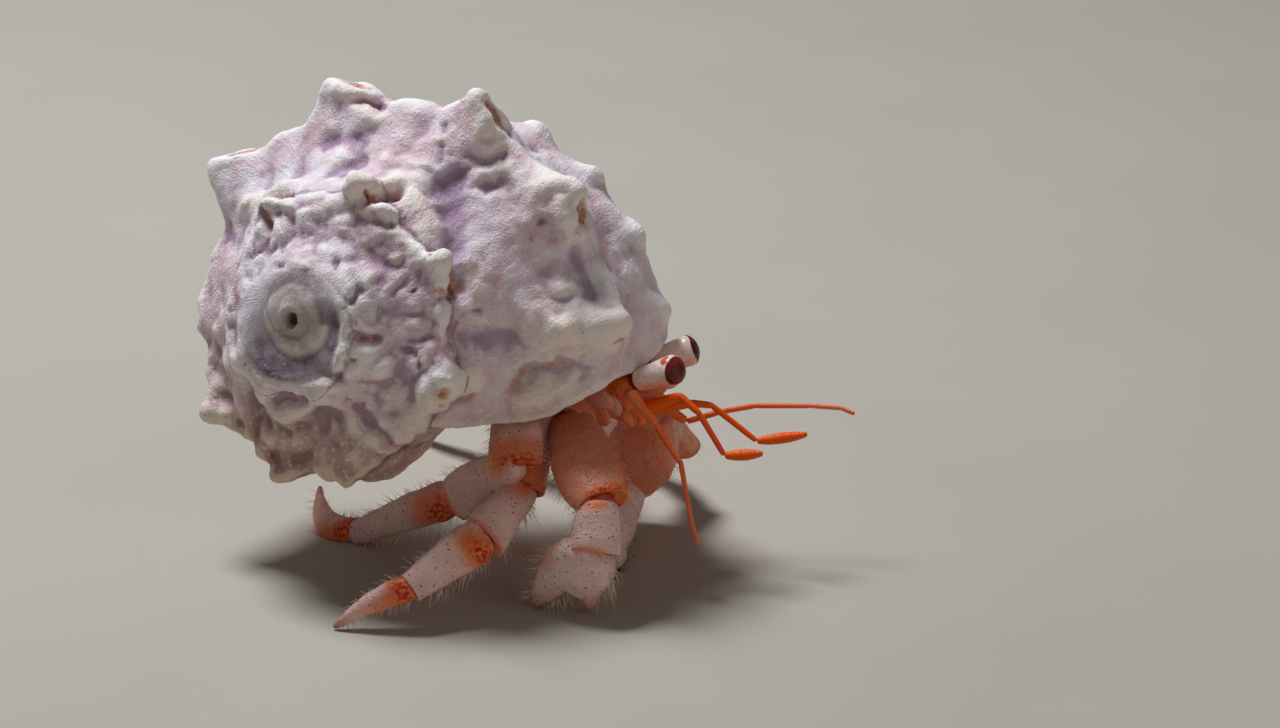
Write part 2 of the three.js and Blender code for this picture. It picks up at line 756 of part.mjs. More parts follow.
for (const [limbName, limb] of Object.entries(LIMBS)) {
  const joints = jointsOf(limb);
  limb.pieces.forEach(([pieceName], index) => {
    const name = `${limbName}_${pieceName}`;
    const before = index > 0 ? [`${limbName}_${limb.pieces[index - 1][0]}`] : [];
    const piece = trimmed(limbPiece(limb, joints, index), joints, index);
    const grown = limbPiece(limb, joints, index, GAP);
    if (pieceName !== "palm") {
      place(name, piece, grown, "plate", before);
      return;
    }
    const { fixedFinger, movingFinger } = limb;
    const moving = finger(limb, joints, movingFinger).trimByPlane([0, 0, 1], 0);
    const movingGrown = finger(limb, joints, movingFinger, GAP);
    const claw = piece.add(finger(limb, joints, fixedFinger)).subtract(movingGrown);
    const clawGrown = grown.add(finger(limb, joints, fixedFinger, GAP));
    place(name, claw.trimByPlane([0, 0, 1], 0), clawGrown, "plate", before);
    place(`${limbName}_finger`, moving, movingGrown, "plate", [name]);
  });
}

for (const [name, { root, runs }] of Object.entries(FEELERS)) {
  let start = new THREE.Vector3(...root);
  for (const [runName, run] of runs) {
    const from = start.addScaledVector(direction(run[0][1], run[0][2]), GAP / 2);
    place(`${name}_${runName}`, feeler(from, run), feeler(from, run, GAP), "feeler");
    start = run.reduce(
      (at, [length, heading, pitch]) => at.addScaledVector(direction(heading, pitch), length),
      from.clone(),
    );
  }
}

for (const [side, { root, runs }] of Object.entries(MAXILLIPEDS)) {
  const start = new THREE.Vector3(...root);
  place(`maxilliped_${side}`, feeler(start, runs), feeler(start, runs, GAP), "plate");
}

const housing = shell();
place("shell", housing, housing, "shell");

export default crab;
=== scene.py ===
# %% [markdown]
# # A hermit crab in a knobbed turban shell
# This lesson builds the looks of a small land hermit crab round a model that is already packed and
# measured. Every piece is modelled in millimetres, where the numbers are easy to read, and carried to
# metres and to the model's own origin when it is finished.

# %% Load the fixed frame
import math

import bmesh
import bpy
import numpy as np
from mathutils import Matrix, Vector, kdtree, noise


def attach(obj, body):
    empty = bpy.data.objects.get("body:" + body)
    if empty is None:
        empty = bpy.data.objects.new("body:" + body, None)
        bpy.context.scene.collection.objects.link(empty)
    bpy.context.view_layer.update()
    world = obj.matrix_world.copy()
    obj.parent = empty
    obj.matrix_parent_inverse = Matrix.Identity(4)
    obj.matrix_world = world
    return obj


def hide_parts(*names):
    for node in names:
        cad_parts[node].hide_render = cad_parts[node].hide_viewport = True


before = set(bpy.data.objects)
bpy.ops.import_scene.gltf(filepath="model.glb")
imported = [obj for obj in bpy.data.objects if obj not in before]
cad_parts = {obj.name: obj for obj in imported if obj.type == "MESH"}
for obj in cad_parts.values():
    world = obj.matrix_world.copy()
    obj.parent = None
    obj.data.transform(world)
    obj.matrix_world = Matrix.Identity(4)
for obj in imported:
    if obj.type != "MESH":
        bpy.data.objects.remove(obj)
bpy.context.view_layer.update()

print("the frame holds", len(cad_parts), "solids")

# %% [markdown]
# ## Helpers
# All the tables below share one drawing frame: millimetres, +X the way the crab looks, +Z up, and the
# floor at zero. The packed model has the middle of the animal's outline as its origin, so each finished
# piece is moved by that much, once, in its mesh.

# %% Units and directions
MM = 0.001
FOOTPRINT_CENTRE = Vector((12.06, -0.45, 0.0))
TO_FRAME = Matrix.Scale(MM, 4) @ Matrix.Translation(-FOOTPRINT_CENTRE)


def mix(low, high, share):
    return low + (high - low) * share


def smoothstep(value, low, high):
    t = np.clip((value - low) / (high - low), 0.0, 1.0)
    return t * t * (3 - 2 * t)


def direction(heading, pitch):
    flat = math.cos(math.radians(pitch))
    turn = math.radians(heading)
    return Vector((flat * math.cos(turn), flat * math.sin(turn), math.sin(math.radians(pitch))))


def paint(red, green, blue):
    """A colour as a painter names it, 0 to 255, in the linear light that shaders work in."""
    shares = [value / 255 for value in (red, green, blue)]
    return tuple(s / 12.92 if s <= 0.04045 else ((s + 0.055) / 1.055) ** 2.4 for s in shares)


print("drawing frame to model frame:", tuple(round(v, 5) for v in TO_FRAME.translation))

# %% [markdown]
# ## Writing materials as expressions
# A node tree is easier to read as arithmetic. `Wire` wraps one socket: adding, multiplying or
# subtracting wires adds Math nodes, and `node` adds any other node with its settings set first.

# %% The Wire class
class Wire:
    """One output socket of a material, or the starting point for its nodes."""

    def __init__(self, socket):
        self.socket = socket

    def node(self, kind, settings, sockets, output=0):
        tree = self.socket.id_data
        made = tree.nodes.new(kind)
        for name, value in settings.items():
            if name == "stops":
                ramp = made.color_ramp
                ramp.elements.remove(ramp.elements[1])
                ramp.elements[0].position = value[0][0]
                ramp.elements[0].color = (*value[0][1], 1.0)
                for position, colour in value[1:]:
                    ramp.elements.new(position).color = (*colour, 1.0)
            else:
                setattr(made, name, value)
        for name, value in sockets.items():
            plug_in(made.inputs[name], value)
        return Wire(made.outputs[output])

    def math(self, operation, *others):
        sockets = dict(enumerate((self, *others)))
        return self.node("ShaderNodeMath", {"operation": operation}, sockets)

    def __add__(self, other):
        return self.math("ADD", other)

    __radd__ = __add__

    def __sub__(self, other):
        return self.math("SUBTRACT", other)

    def __rsub__(self, other):
        return (self * -1.0) + other

    def __mul__(self, other):
        return self.math("MULTIPLY", other)

    __rmul__ = __mul__

    def ramp(self, low, high):
        """0 below low, 1 above high and a soft step between."""
        settings = {"interpolation_type": "SMOOTHSTEP"}
        return self.node("ShaderNodeMapRange", settings, {0: self, 1: low, 2: high})

    def tint(self, without, full):
        """A colour between two, with this wire as the share of the second."""
        sockets = {0: self, 6: without, 7: full}
        return self.node("ShaderNodeMix", {"data_type": "RGBA"}, sockets, output=2)

    def clouds(self, size, detail=3.0, roughness=0.5):
        """Soft noise whose blotches are about this many millimetres across, from 0 to 1."""
        sockets = {"Vector": self, "Scale": 1 / (size * MM), "Detail": detail, "Roughness": roughness}
        return self.node("ShaderNodeTexNoise", {}, sockets)

    def cells(self, size, randomness=1.0):
        """Distance to the nearest of scattered points, in shares of their spacing."""
        sockets = {"Vector": self, "Scale": 1 / (size * MM), "Randomness": randomness}
        return self.node("ShaderNodeTexVoronoi", {}, sockets)


def plug_in(socket, value):
    if isinstance(value, Wire):
        socket.id_data.links.new(value.socket, socket)
    elif socket.type == "RGBA" and len(value) == 3:
        socket.default_value = (*value, 1.0)
    else:
        socket.default_value = value


print("a wire can:", ", ".join(name for name in vars(Wire) if not name.startswith("__")))


# %% The Finish class
class Finish:
    """A material with a Principled shader, and the wires that most patterns start from."""

    def __init__(self, name, **constants):
        self.material = bpy.data.materials.new(name)
        self.material.use_nodes = True
        tree = self.material.node_tree
        self.shader = tree.nodes["Principled BSDF"]
        for socket, value in constants.items():
            self.shader.inputs[socket.replace("_", " ")].default_value = value
        coordinates = tree.nodes.new("ShaderNodeTexCoord")
        self.place = Wire(coordinates.outputs["Object"])

    def attribute(self, name):
        """A number that the mesh carries at each vertex."""
        return self.place.node("ShaderNodeAttribute", {"attribute_name": name}, {}, output=2)

    def feed(self, socket, value):
        plug_in(self.shader.inputs[socket], value)

    def relief(self, height, depth):
        """Bumps the surface by this wire, which counts in steps of depth millimetres."""
        sockets = {"Strength": 1.0, "Distance": depth * MM, "Height": height}
        self.feed("Normal", self.place.node("ShaderNodeBump", {}, sockets))


print("a finish can:", ", ".join(name for name in vars(Finish) if not name.startswith("__")))

# %% [markdown]
# ## Finishing a piece
# Each piece starts in a bmesh. `finish_piece` carries it to the model's frame, smooths its shading,
# gives it a material, hangs it on the root body, and hides the plain solids it stands for.

# %% Turning a bmesh into a finished piece
def mesh_of(shape, name):
    """The mesh of a bmesh, which is used up."""
    mesh = bpy.data.meshes.new(name)
    shape.to_mesh(mesh)
    shape.free()
    return mesh


def linked(name, data):
    """A new object in the scene that holds a mesh, a lamp or a camera."""
    made = bpy.data.objects.new(name, data)
    bpy.context.collection.objects.link(made)
    return made


def finish_piece(shape, name, look, stands_for=()):
    bmesh.ops.recalc_face_normals(shape, faces=shape.faces)
    return finish_mesh(mesh_of(shape, name), name, look, stands_for)


def finish_mesh(mesh, name, look, stands_for=()):
    mesh.transform(TO_FRAME)
    mesh.shade_smooth()
    piece = linked(name, mesh)
    mesh.materials.clear()
    mesh.materials.append(look.material)
    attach(piece, "root")
    if stands_for:
        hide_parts(*stands_for)
    print(f"{name}: {len(mesh.polygons)} faces")
    return piece


def give_attribute(mesh, name, values):
    layer = mesh.attributes.new(name, "FLOAT", "POINT")
    layer.data.foreach_set("value", np.asarray(values, np.float32))


def vertex_places(mesh):
    places = np.zeros(len(mesh.vertices) * 3, np.float32)
    mesh.vertices.foreach_get("co", places)
    return places.reshape(-1, 3).astype(float)


def move_vertices(mesh, places):
    mesh.vertices.foreach_set("co", places.astype(np.float32).ravel())
    mesh.update()


print("the middle of the outline goes to", tuple(TO_FRAME @ FOOTPRINT_CENTRE))

# %% [markdown]
# ## The camera
# The crab is looked at from its right, a little from behind the head and from above, through a long
# lens, which keeps the shell and the legs in their true proportions.

# %% Camera
CAMERA_AIM = Vector((25.09, -2.73, 21.69))
CAMERA_AZIMUTH = 16.0
CAMERA_ELEVATION = 20.0
CAMERA_DISTANCE = 533.0
LENS = 149.9
SENSOR_WIDTH = 36.0


def add_camera():
    looking = direction(90 + CAMERA_AZIMUTH, -CAMERA_ELEVATION)
    data = bpy.data.cameras.new("camera")
    data.lens = LENS
    data.sensor_fit = "HORIZONTAL"
    data.sensor_width = SENSOR_WIDTH
    data.clip_start = 0.01
    camera = linked("camera", data)
    camera.location = TO_FRAME @ (CAMERA_AIM - CAMERA_DISTANCE * looking)
    camera.rotation_euler = looking.to_track_quat("-Z", "Y").to_euler()
    bpy.context.scene.camera = camera
    return camera


camera = add_camera()
print("camera at", tuple(round(v, 4) for v in camera.location))

# %% [markdown]
# ## The shell's law of growth
# A snail adds to its shell at the lip, and what it adds is always a slightly larger copy of the lip.
# So the shell is one outline swept round an axis while it grows: a table gives the radius and the
# depth below the apex of the shoulder at some angles, and a smooth curve joins them.

# %% Growth law
APEX = Vector((-6.0, -20.0, 29.7))
AXIS = direction(-108.6, 16.7)
SHELL_ROLL = math.radians(-11.2)
# Turn angle in degrees, radius of the shoulder, its depth below the apex.
GROWTH = np.array([
    (-450, 1.2, 0.1),
    (-270, 2.2, 0.3),
    (-90, 4.4, 0.9),
    (90, 8.3, 2.4),
    (270, 11.8, 4.9),
    (450, 15.5, 8.5),
    (630, 20.8, 14.0),
    (720, 23.9, 20.5),
    (770, 25.0, 25.0),
])
LIP_ANGLE = 765.0
LEVEL = Vector((0, 0, 1)).cross(AXIS).normalized()
DOWNWARD = LEVEL.cross(AXIS).normalized()
TURN_ZERO = LEVEL * math.cos(SHELL_ROLL) + DOWNWARD * math.sin(SHELL_ROLL)
TURN_QUARTER = DOWNWARD * math.cos(SHELL_ROLL) - LEVEL * math.sin(SHELL_ROLL)


def growth(angle, column):
    """A smooth curve through one column of the growth table."""
    knots, values = GROWTH[:, 0], GROWTH[:, column]
    ahead = np.append(np.arange(1, len(knots)), len(knots) - 1)
    behind = np.insert(np.arange(len(knots) - 1), 0, 0)
    slopes = (values[ahead] - values[behind]) / (knots[ahead] - knots[behind])
    at = np.clip(angle, knots[0], knots[-1])
    row = np.clip(np.searchsorted(knots, at, side="right") - 1, 0, len(knots) - 2)
    span = knots[row + 1] - knots[row]
    t = (at - knots[row]) / span
    curve = (2 * t**3 - 3 * t**2 + 1) * values[row] + (t**3 - 2 * t**2 + t) * span * slopes[row]
    curve = curve + (3 * t**2 - 2 * t**3) * values[row + 1] + (t**3 - t**2) * span * slopes[row + 1]
    return curve + (angle - at) * np.where(angle < at, slopes[0], slopes[-1])


def on_shell(angle, radius, depth):
    """Places in the drawing frame for a turn angle, a radius and a depth."""
    turn = np.radians(angle)[:, None]
    reach = np.asarray(radius)[:, None]
    across = np.cos(turn) * np.array(TURN_ZERO) + np.sin(turn) * np.array(TURN_QUARTER)
    return np.array(APEX) + reach * across - np.asarray(depth)[:, None] * np.array(AXIS)


print("shoulder radius at the lip:", round(float(growth(np.array([LIP_ANGLE]), 1)[0]), 1), "mm")

# %% [markdown]
# ## The outline that is swept
# The outline starts at the seam with the whorl before, climbs to the spiny shoulder, drops over the
# keel, and rounds the base to the central pillar. The third number is a lag: the lip is oblique, so
# each part of the outline runs that many degrees behind the seam. The hollow inside follows the same
# law, a wall's thickness further in.

# %% Outlines of the whorl and of its hollow
OUTLINE_POINTS = 12
SHOULDER = 3 / OUTLINE_POINTS
KEEL = 5 / OUTLINE_POINTS
WALL = 1.4
LIP_WALL = 0.8
HOLLOW_START = 360.0
HOLLOW_OPEN = 540.0


def whorl_outline(angle):
    radius, depth = growth(angle, 1), growth(angle, 2)
    seam = 0.96 * growth(angle - 360, 1)
    seam_depth = growth(angle - 360, 2) + 0.03 * seam
    points = [
        (seam, seam_depth, 0),
        (mix(seam, radius, 0.42), mix(seam_depth, depth, 0.46) + 0.02 * radius, 10),
        (mix(seam, radius, 0.8), mix(seam_depth, depth, 0.82), 19),
        (radius, depth, 24),
        (0.985 * radius, depth + 0.2 * radius, 31),
        (radius, depth + 0.42 * radius, 38),
        (0.9 * radius, depth + 0.6 * radius, 43),
        (0.68 * radius, depth + 0.72 * radius, 45),
        (0.42 * radius, depth + 0.74 * radius, 42),
        (0.24 * radius, depth + 0.62 * radius, 36),
        (0.14 * radius, depth + 0.35 * radius, 28),
        (0.14 * radius, depth + 0.05 * radius, 14),
    ]
    return stacked(points, angle)


def hollow_outline(angle):
    radius, depth = growth(angle, 1), growth(angle, 2)
    before, before_depth = growth(angle - 360, 1), growth(angle - 360, 2)
    wall = mix(WALL, LIP_WALL, smoothstep(angle, 690.0, LIP_ANGLE))
    points = [
        (before + 1.1, before_depth + 4.0, 3),
        (mix(before, radius, 0.35), mix(before_depth, depth, 0.42) + 1.9 * wall, 10),
        (mix(before, radius, 0.66), mix(before_depth, depth, 0.72) + 1.5 * wall, 18),
        (radius - 1.3 * wall, depth + wall, 24),
        (radius - wall, depth + 0.22 * radius, 31),
        (radius - 1.2 * wall, depth + 0.42 * radius, 38),
        (0.86 * radius - 0.6 * wall, depth + 0.57 * radius, 43),
        (0.66 * radius, depth + 0.71 * radius - wall, 45),
        (0.46 * radius, depth + 0.71 * radius - wall, 42),
        (0.36 * radius, depth + 0.48 * radius, 36),
        (0.4 * radius, depth + 0.2 * radius, 28),
        (before + 0.5, before_depth + 0.55 * before, 14),
    ]
    return stacked(points, angle)


def stacked(points, angle):
    rows = [np.stack([np.broadcast_to(value, angle.shape) for value in point], -1) for point in points]
    return np.stack(rows, 1)


def on_outline(outline, side):
    """A point at a share of the way round a closed smooth curve through the outline's points."""
    count = outline.shape[1]
    place = side * count
    first = np.floor(place).astype(int)
    t = (place - first)[:, None]
    row = np.arange(len(side))
    p0, p1, p2, p3 = [outline[row, (first + step) % count] for step in (-1, 0, 1, 2)]
    spans = (p1 - p0, p2 - p1, p3 - p2)
    d0, d1, d2 = [np.sqrt(np.linalg.norm(span, axis=1))[:, None] for span in spans]
    leave = ((p1 - p0) / d0 - (p2 - p0) / (d0 + d1) + (p2 - p1) / d1) * d1
    arrive = ((p2 - p1) / d1 - (p3 - p1) / (d1 + d2) + (p3 - p2) / d2) * d1
    cubic = 2 * p1 - 2 * p2 + leave + arrive
    square = -3 * p1 + 3 * p2 - 2 * leave - arrive
    return p1 + leave * t + square * t**2 + cubic * t**3


lip_outline = whorl_outline(np.array([LIP_ANGLE]))[0]
print("outline at the lip:", [round(float(v), 1) for v in np.ptp(lip_outline, axis=0)[:2]], "mm")

# %% [markdown]
# ## Spines, ribs and knobs
# At intervals the snail stopped and built a scoop-shaped spine at the shoulder: steep behind, open and
# hollow in front, with a rib running from it towards the seam. Lower down, on the keel, each stop left
# a blunt knob. They are hills on the swept surface, given by their angle and sizes in millimetres.

# %% Relief of the shell
# Spines: turn angle, height, reach behind, reach in front, reach of the rib towards the seam.
SPINES = [
    (242, 2.3, 1.7, 2.8, 2.0),
    (294, 2.7, 1.7, 3.0, 2.0),
    (343, 3.2, 1.8, 3.2, 2.2),
    (384, 3.0, 1.8, 3.2, 2.4),
    (417, 1.2, 1.6, 2.0, 2.0),
    (446, 2.1, 2.2, 2.6, 2.4),
    (477, 2.5, 2.2, 3.0, 2.6),
    (510, 3.3, 2.2, 3.4, 2.8),
    (537, 1.4, 2.0, 2.4, 2.4),
    (582, 4.8, 2.2, 4.6, 3.4),
    (621, 4.0, 2.3, 4.6, 3.6),
    (661, 4.0, 2.8, 3.6, 4.2),
    (693, 3.6, 3.2, 2.4, 6.0),
    (722, 2.6, 3.4, 2.0, 7.5),
    (748, 1.6, 2.8, 1.6, 6.0),
]
SPINE_BREADTH = 2.6
SCOOP_BREADTH = 1.15
SCOOP_DEPTH = 0.55
# Folds across the whorl from the seam to the keel, steep towards the lip, with a groove in front:
# turn angle, height, half width behind and in front, depth of the groove.
FOLDS = [
    (560, 0.4, 3.0, 1.6, 0.3),
    (587, 0.7, 3.0, 1.5, 0.4),
    (604, 0.3, 2.0, 1.2, 0.3),
    (628, 0.8, 3.0, 1.4, 0.5),
    (645, 0.4, 2.0, 1.2, 0.3),
    (665, 0.6, 3.0, 1.3, 0.4),
]
# Knobs: turn angle, share of the way round the outline, height, half width.
KNOBS = [
    (506, KEEL, 1.3, 2.0),
    (536, KEEL, 1.0, 1.8),
    (568, KEEL, 1.4, 2.0),
    (596, KEEL, 1.2, 1.8),
    (622, KEEL, 1.5, 2.0),
    (645, KEEL, 1.4, 1.8),
    (664, KEEL, 1.6, 1.7),
    (682, KEEL, 1.6, 1.6),
    (700, KEEL, 1.6, 1.6),
    (718, KEEL, 1.4, 1.5),
    (735, KEEL, 1.0, 1.3),
]


def spine_relief(angle, radius, depth):
    """How far the spines lift each place, and how deep in a spine's scoop it lies."""
    shoulder, shoulder_depth = growth(angle, 1), growth(angle, 2)
    along_scale = np.radians(1) * shoulder
    across = np.hypot(radius - shoulder, depth - shoulder_depth)
    seamward = depth < shoulder_depth
    lift, scoop = np.zeros_like(angle), np.zeros_like(angle)
    for at, height, behind, front, rib in SPINES:
        along = (angle - at) * along_scale
        u = along / np.where(along < 0, behind, front)
        w = across / np.where(seamward, rib, SPINE_BREADTH)
        hill = np.exp(0.06 - np.sqrt(u**2 + w**2 + 0.02) ** 1.4)
        mouth = np.exp(-(((along - 0.5 * front) / (0.42 * front)) ** 2) - (across / SCOOP_BREADTH) ** 2)
        lift += height * hill * (1 - SCOOP_DEPTH * mouth)
        scoop = np.maximum(scoop, mouth * min(height / 2.4, 1.0))
    return lift, scoop


def fold_relief(angle, side):
    along_scale = np.radians(1) * growth(angle, 1)
    reach = smoothstep(side, 0.03, 0.12) * (1 - smoothstep(side, 0.3, 0.42))
    lift = np.zeros_like(angle)
    for at, height, behind, front, groove in FOLDS:
        along = (angle - at) * along_scale
        ridge = np.exp(-((along / np.where(along < 0, behind, front)) ** 2))
        lift += (height * ridge - groove * np.exp(-(((along - 1.9 * front) / (0.7 * front)) ** 2))) * reach
    return lift


def knob_relief(angle, side):
    radius = growth(angle, 1)
    lift = np.zeros_like(angle)
    for at, at_side, height, half_width in KNOBS:
        along = np.radians(angle - at) * radius
        across = (side - at_side) * OUTLINE_POINTS * 0.21 * radius
        lift += height * np.exp(-(along**2 + across**2) / half_width**2)
    return lift


print(len(SPINES), "spines and", len(KNOBS), "knobs")

# %% [markdown]
# ## Sweeping the shell
# One flat grid becomes the whole shell. Its rows run from the apex along the outside to the lip, over
# the lip's rounded edge, and back down the hollow; its columns go round the outline. Whorls bury parts
# of each other, so a voxel remesh then melts everything into one clean skin.

# %% The swept grid
RING_STEP = 1.8
HOLLOW_STEP = 4.0
SIDES = 120
VOXEL = 0.36


def swept_places(rows, side):
    """Where each grid point goes. A row is (turn angle, share of the way to the inner wall)."""
    ring, inner = rows[:, 0], rows[:, 1]
    lag = on_outline(whorl_outline(ring), side)[:, 2]
    own = ring - lag
    outer = on_outline(whorl_outline(own), side)[:, :2]
    hollow = on_outline(hollow_outline(own), side)[:, :2]
    opening = mix(0.08, 1.0, smoothstep(ring, HOLLOW_START, HOLLOW_OPEN))[:, None]
    heart = np.stack([0.66 * growth(own, 1), growth(own, 2) + 0.3 * growth(own, 1)], -1)
    hollow = mix(heart, hollow, opening)
    spine, scoop = spine_relief(own, outer[:, 0], outer[:, 1])
    lift = (spine + fold_relief(own, side) + knob_relief(own, side)) * np.clip(1 - inner, 0, 1)
    near_shoulder = np.exp(-(((side - SHOULDER) / 0.1) ** 2))
    radius = mix(outer[:, 0] + lift, hollow[:, 0], inner)
    depth = mix(outer[:, 1] - 0.35 * lift * near_shoulder, hollow[:, 1], inner)
    bulge = 0.9 * np.sin(math.pi * np.clip(inner, 0, 1)) * LIP_WALL / growth(own, 1)
    return on_shell(own + np.degrees(bulge), radius, depth), {"scoop": scoop, "ring": ring, "inner": inner}


def swept_grid():
    outside = np.arange(GROWTH[0, 0], LIP_ANGLE, RING_STEP)
    rows = [(angle, 0.0) for angle in outside] + [(LIP_ANGLE, share) for share in (0, 0.25, 0.5, 0.75, 1)]
    rows += [(angle, 1.0) for angle in np.arange(LIP_ANGLE - HOLLOW_STEP, HOLLOW_START, -HOLLOW_STEP)]
    rows = np.array(rows)
    grid = bmesh.new()
    bmesh.ops.create_grid(grid, x_segments=SIDES, y_segments=len(rows) - 1, size=0.5)
    flat = np.array([vertex.co for vertex in grid.verts])
    side = flat[:, 0] + 0.5
    row = np.rint((flat[:, 1] + 0.5) * (len(rows) - 1)).astype(int)
    places, values = swept_places(rows[row], side % 1.0)
    for vertex, place in zip(grid.verts, places):
        vertex.co = place
    ends = [[v for v, r in zip(grid.verts, row) if r == end] for end in (0, len(rows) - 1)]
    for end in ends:
        centre = sum((v.co for v in end), Vector()) / len(end)
        bmesh.ops.pointmerge(grid, verts=end, merge_co=centre)
    bmesh.ops.remove_doubles(grid, verts=grid.verts, dist=1e-4)
    open_edges = sum(1 for edge in grid.edges if len(edge.link_faces) != 2)
    print(f"swept grid: {len(grid.faces)} faces, {open_edges} open edges")
    return grid, places, values


shell_shape, grid_places, grid_values = swept_grid()
bmesh.ops.recalc_face_normals(shell_shape, faces=shell_shape.faces)

# %% [markdown]
# ## The pillar
# At the middle of the base the whorls close round a pillar with a smooth callus, a lathe-turned form:
# its half profile is spun once round the axis, in a bmesh of its own so that its faces can be turned
# outwards, and joined to the sweep.

# %% Pillar
# Distance from the axis and depth below the apex.
PILLAR = [(0, 0.6), (0.5, 0.6), (3.0, 16), (4.3, 20), (4.1, 22.5), (2.5, 24.2), (0, 24.9)]


def add_pillar(shape):
    pillar = bmesh.new()
    profile = [pillar.verts.new(APEX + TURN_ZERO * radius - AXIS * depth) for radius, depth in PILLAR]
    edges = [pillar.edges.new(pair) for pair in zip(profile, profile[1:])]
    turned = {"cent": APEX, "axis": AXIS, "angle": 2 * math.pi, "steps": 48, "use_merge": True}
    bmesh.ops.spin(pillar, geom=profile + edges, **turned)
    bmesh.ops.remove_doubles(pillar, verts=pillar.verts, dist=1e-3)
    bmesh.ops.recalc_face_normals(pillar, faces=pillar.faces)
    lathe = mesh_of(pillar, "pillar")
    shape.from_mesh(lathe)
    print("pillar:", len(lathe.polygons), "faces")
    bpy.data.meshes.remove(lathe)


add_pillar(shell_shape)

# %% [markdown]
# ## Melting the whorls together
# A voxel remesh keeps only the outer skin of what overlaps, and makes it anew from small squares. The
# new vertices don't know where they lie along the spiral, so each takes the turn angle of the nearest
# vertex of the sweep.


# %% Remesh, and carry the growth coordinates across
def remeshed(shape, voxel):
    """The outer skin of a bmesh, melted into one closed mesh of small squares."""
    rough = mesh_of(shape, "rough")
    holder = linked("rough", rough)
    melt = holder.modifiers.new("melt", "REMESH")
    melt.mode = "VOXEL"
    melt.voxel_size = voxel
    graph = bpy.context.evaluated_depsgraph_get()
    mesh = bpy.data.meshes.new_from_object(holder.evaluated_get(graph))
    bpy.data.objects.remove(holder)
    bpy.data.meshes.remove(rough)
    return mesh


def nearest_rows(places, targets):
    """For each target, which of the places lies nearest."""
    tree = kdtree.KDTree(len(places))
    for index, place in enumerate(places):
        tree.insert(place, index)
    tree.balance()
    return np.array([tree.find(target)[1] for target in targets])


def mesh_edges(mesh):
    pairs = np.zeros(len(mesh.edges) * 2, np.int32)
    mesh.edges.foreach_get("vertices", pairs)
    return pairs.reshape(-1, 2)


def averaged(values, pairs, rounds):
    """Each vertex's value becomes the mean of its neighbours' values, several times over."""
    for _ in range(rounds):
        total, count = np.zeros_like(values), np.zeros(len(values))
        for a, b in ((0, 1), (1, 0)):
            np.add.at(total, pairs[:, a], values[pairs[:, b]])
            np.add.at(count, pairs[:, a], 1)
        values = total / count[:, None]
    return values


def vertex_normals(mesh):
    normals = np.zeros(len(mesh.vertices) * 3, np.float32)
    mesh.vertex_normals.foreach_get("vector", normals)
    return normals.reshape(-1, 3).astype(float)


shell_mesh = remeshed(shell_shape, VOXEL)
shell_places = vertex_places(shell_mesh)
shell_rows = nearest_rows(grid_places, shell_places)
print("melted shell:", len(shell_places), "vertices")

# %% [markdown]
# ## Noise for lumps and ripples
# Nothing on an old shell is smooth. Cells with creases between them make lumps, and soft waves make
# ripples. Both are worked out at every vertex, in millimetres, so that they are real relief and not
# only shading.

# %% Lumps and ripples
def lumps(places, size, seed):
    """Rounded lumps with creases between them, from 0 in a crease to about 1."""
    shift = Vector((seed, 2 * seed, 3 * seed))
    found = [noise.voronoi(Vector(place) / size + shift)[0] for place in places]
    return np.clip(np.array([f[1] - f[0] for f in found]) * 1.6, 0, 1)


def ripples(places, size, seed, octaves=3):
    """Soft noise about zero, whose waves are about this many millimetres long."""
    shift = Vector((seed, -seed, 2 * seed))
    return np.array([noise.fractal(Vector(place) / size + shift, 0.9, 2.0, octaves) for place in places])


broad_ripples = ripples(shell_places, 5.0, 3.0)
fine_ripples = ripples(shell_places, 1.2, 4.0, 2)
print("broad ripples reach", round(float(np.abs(broad_ripples).max()), 2))
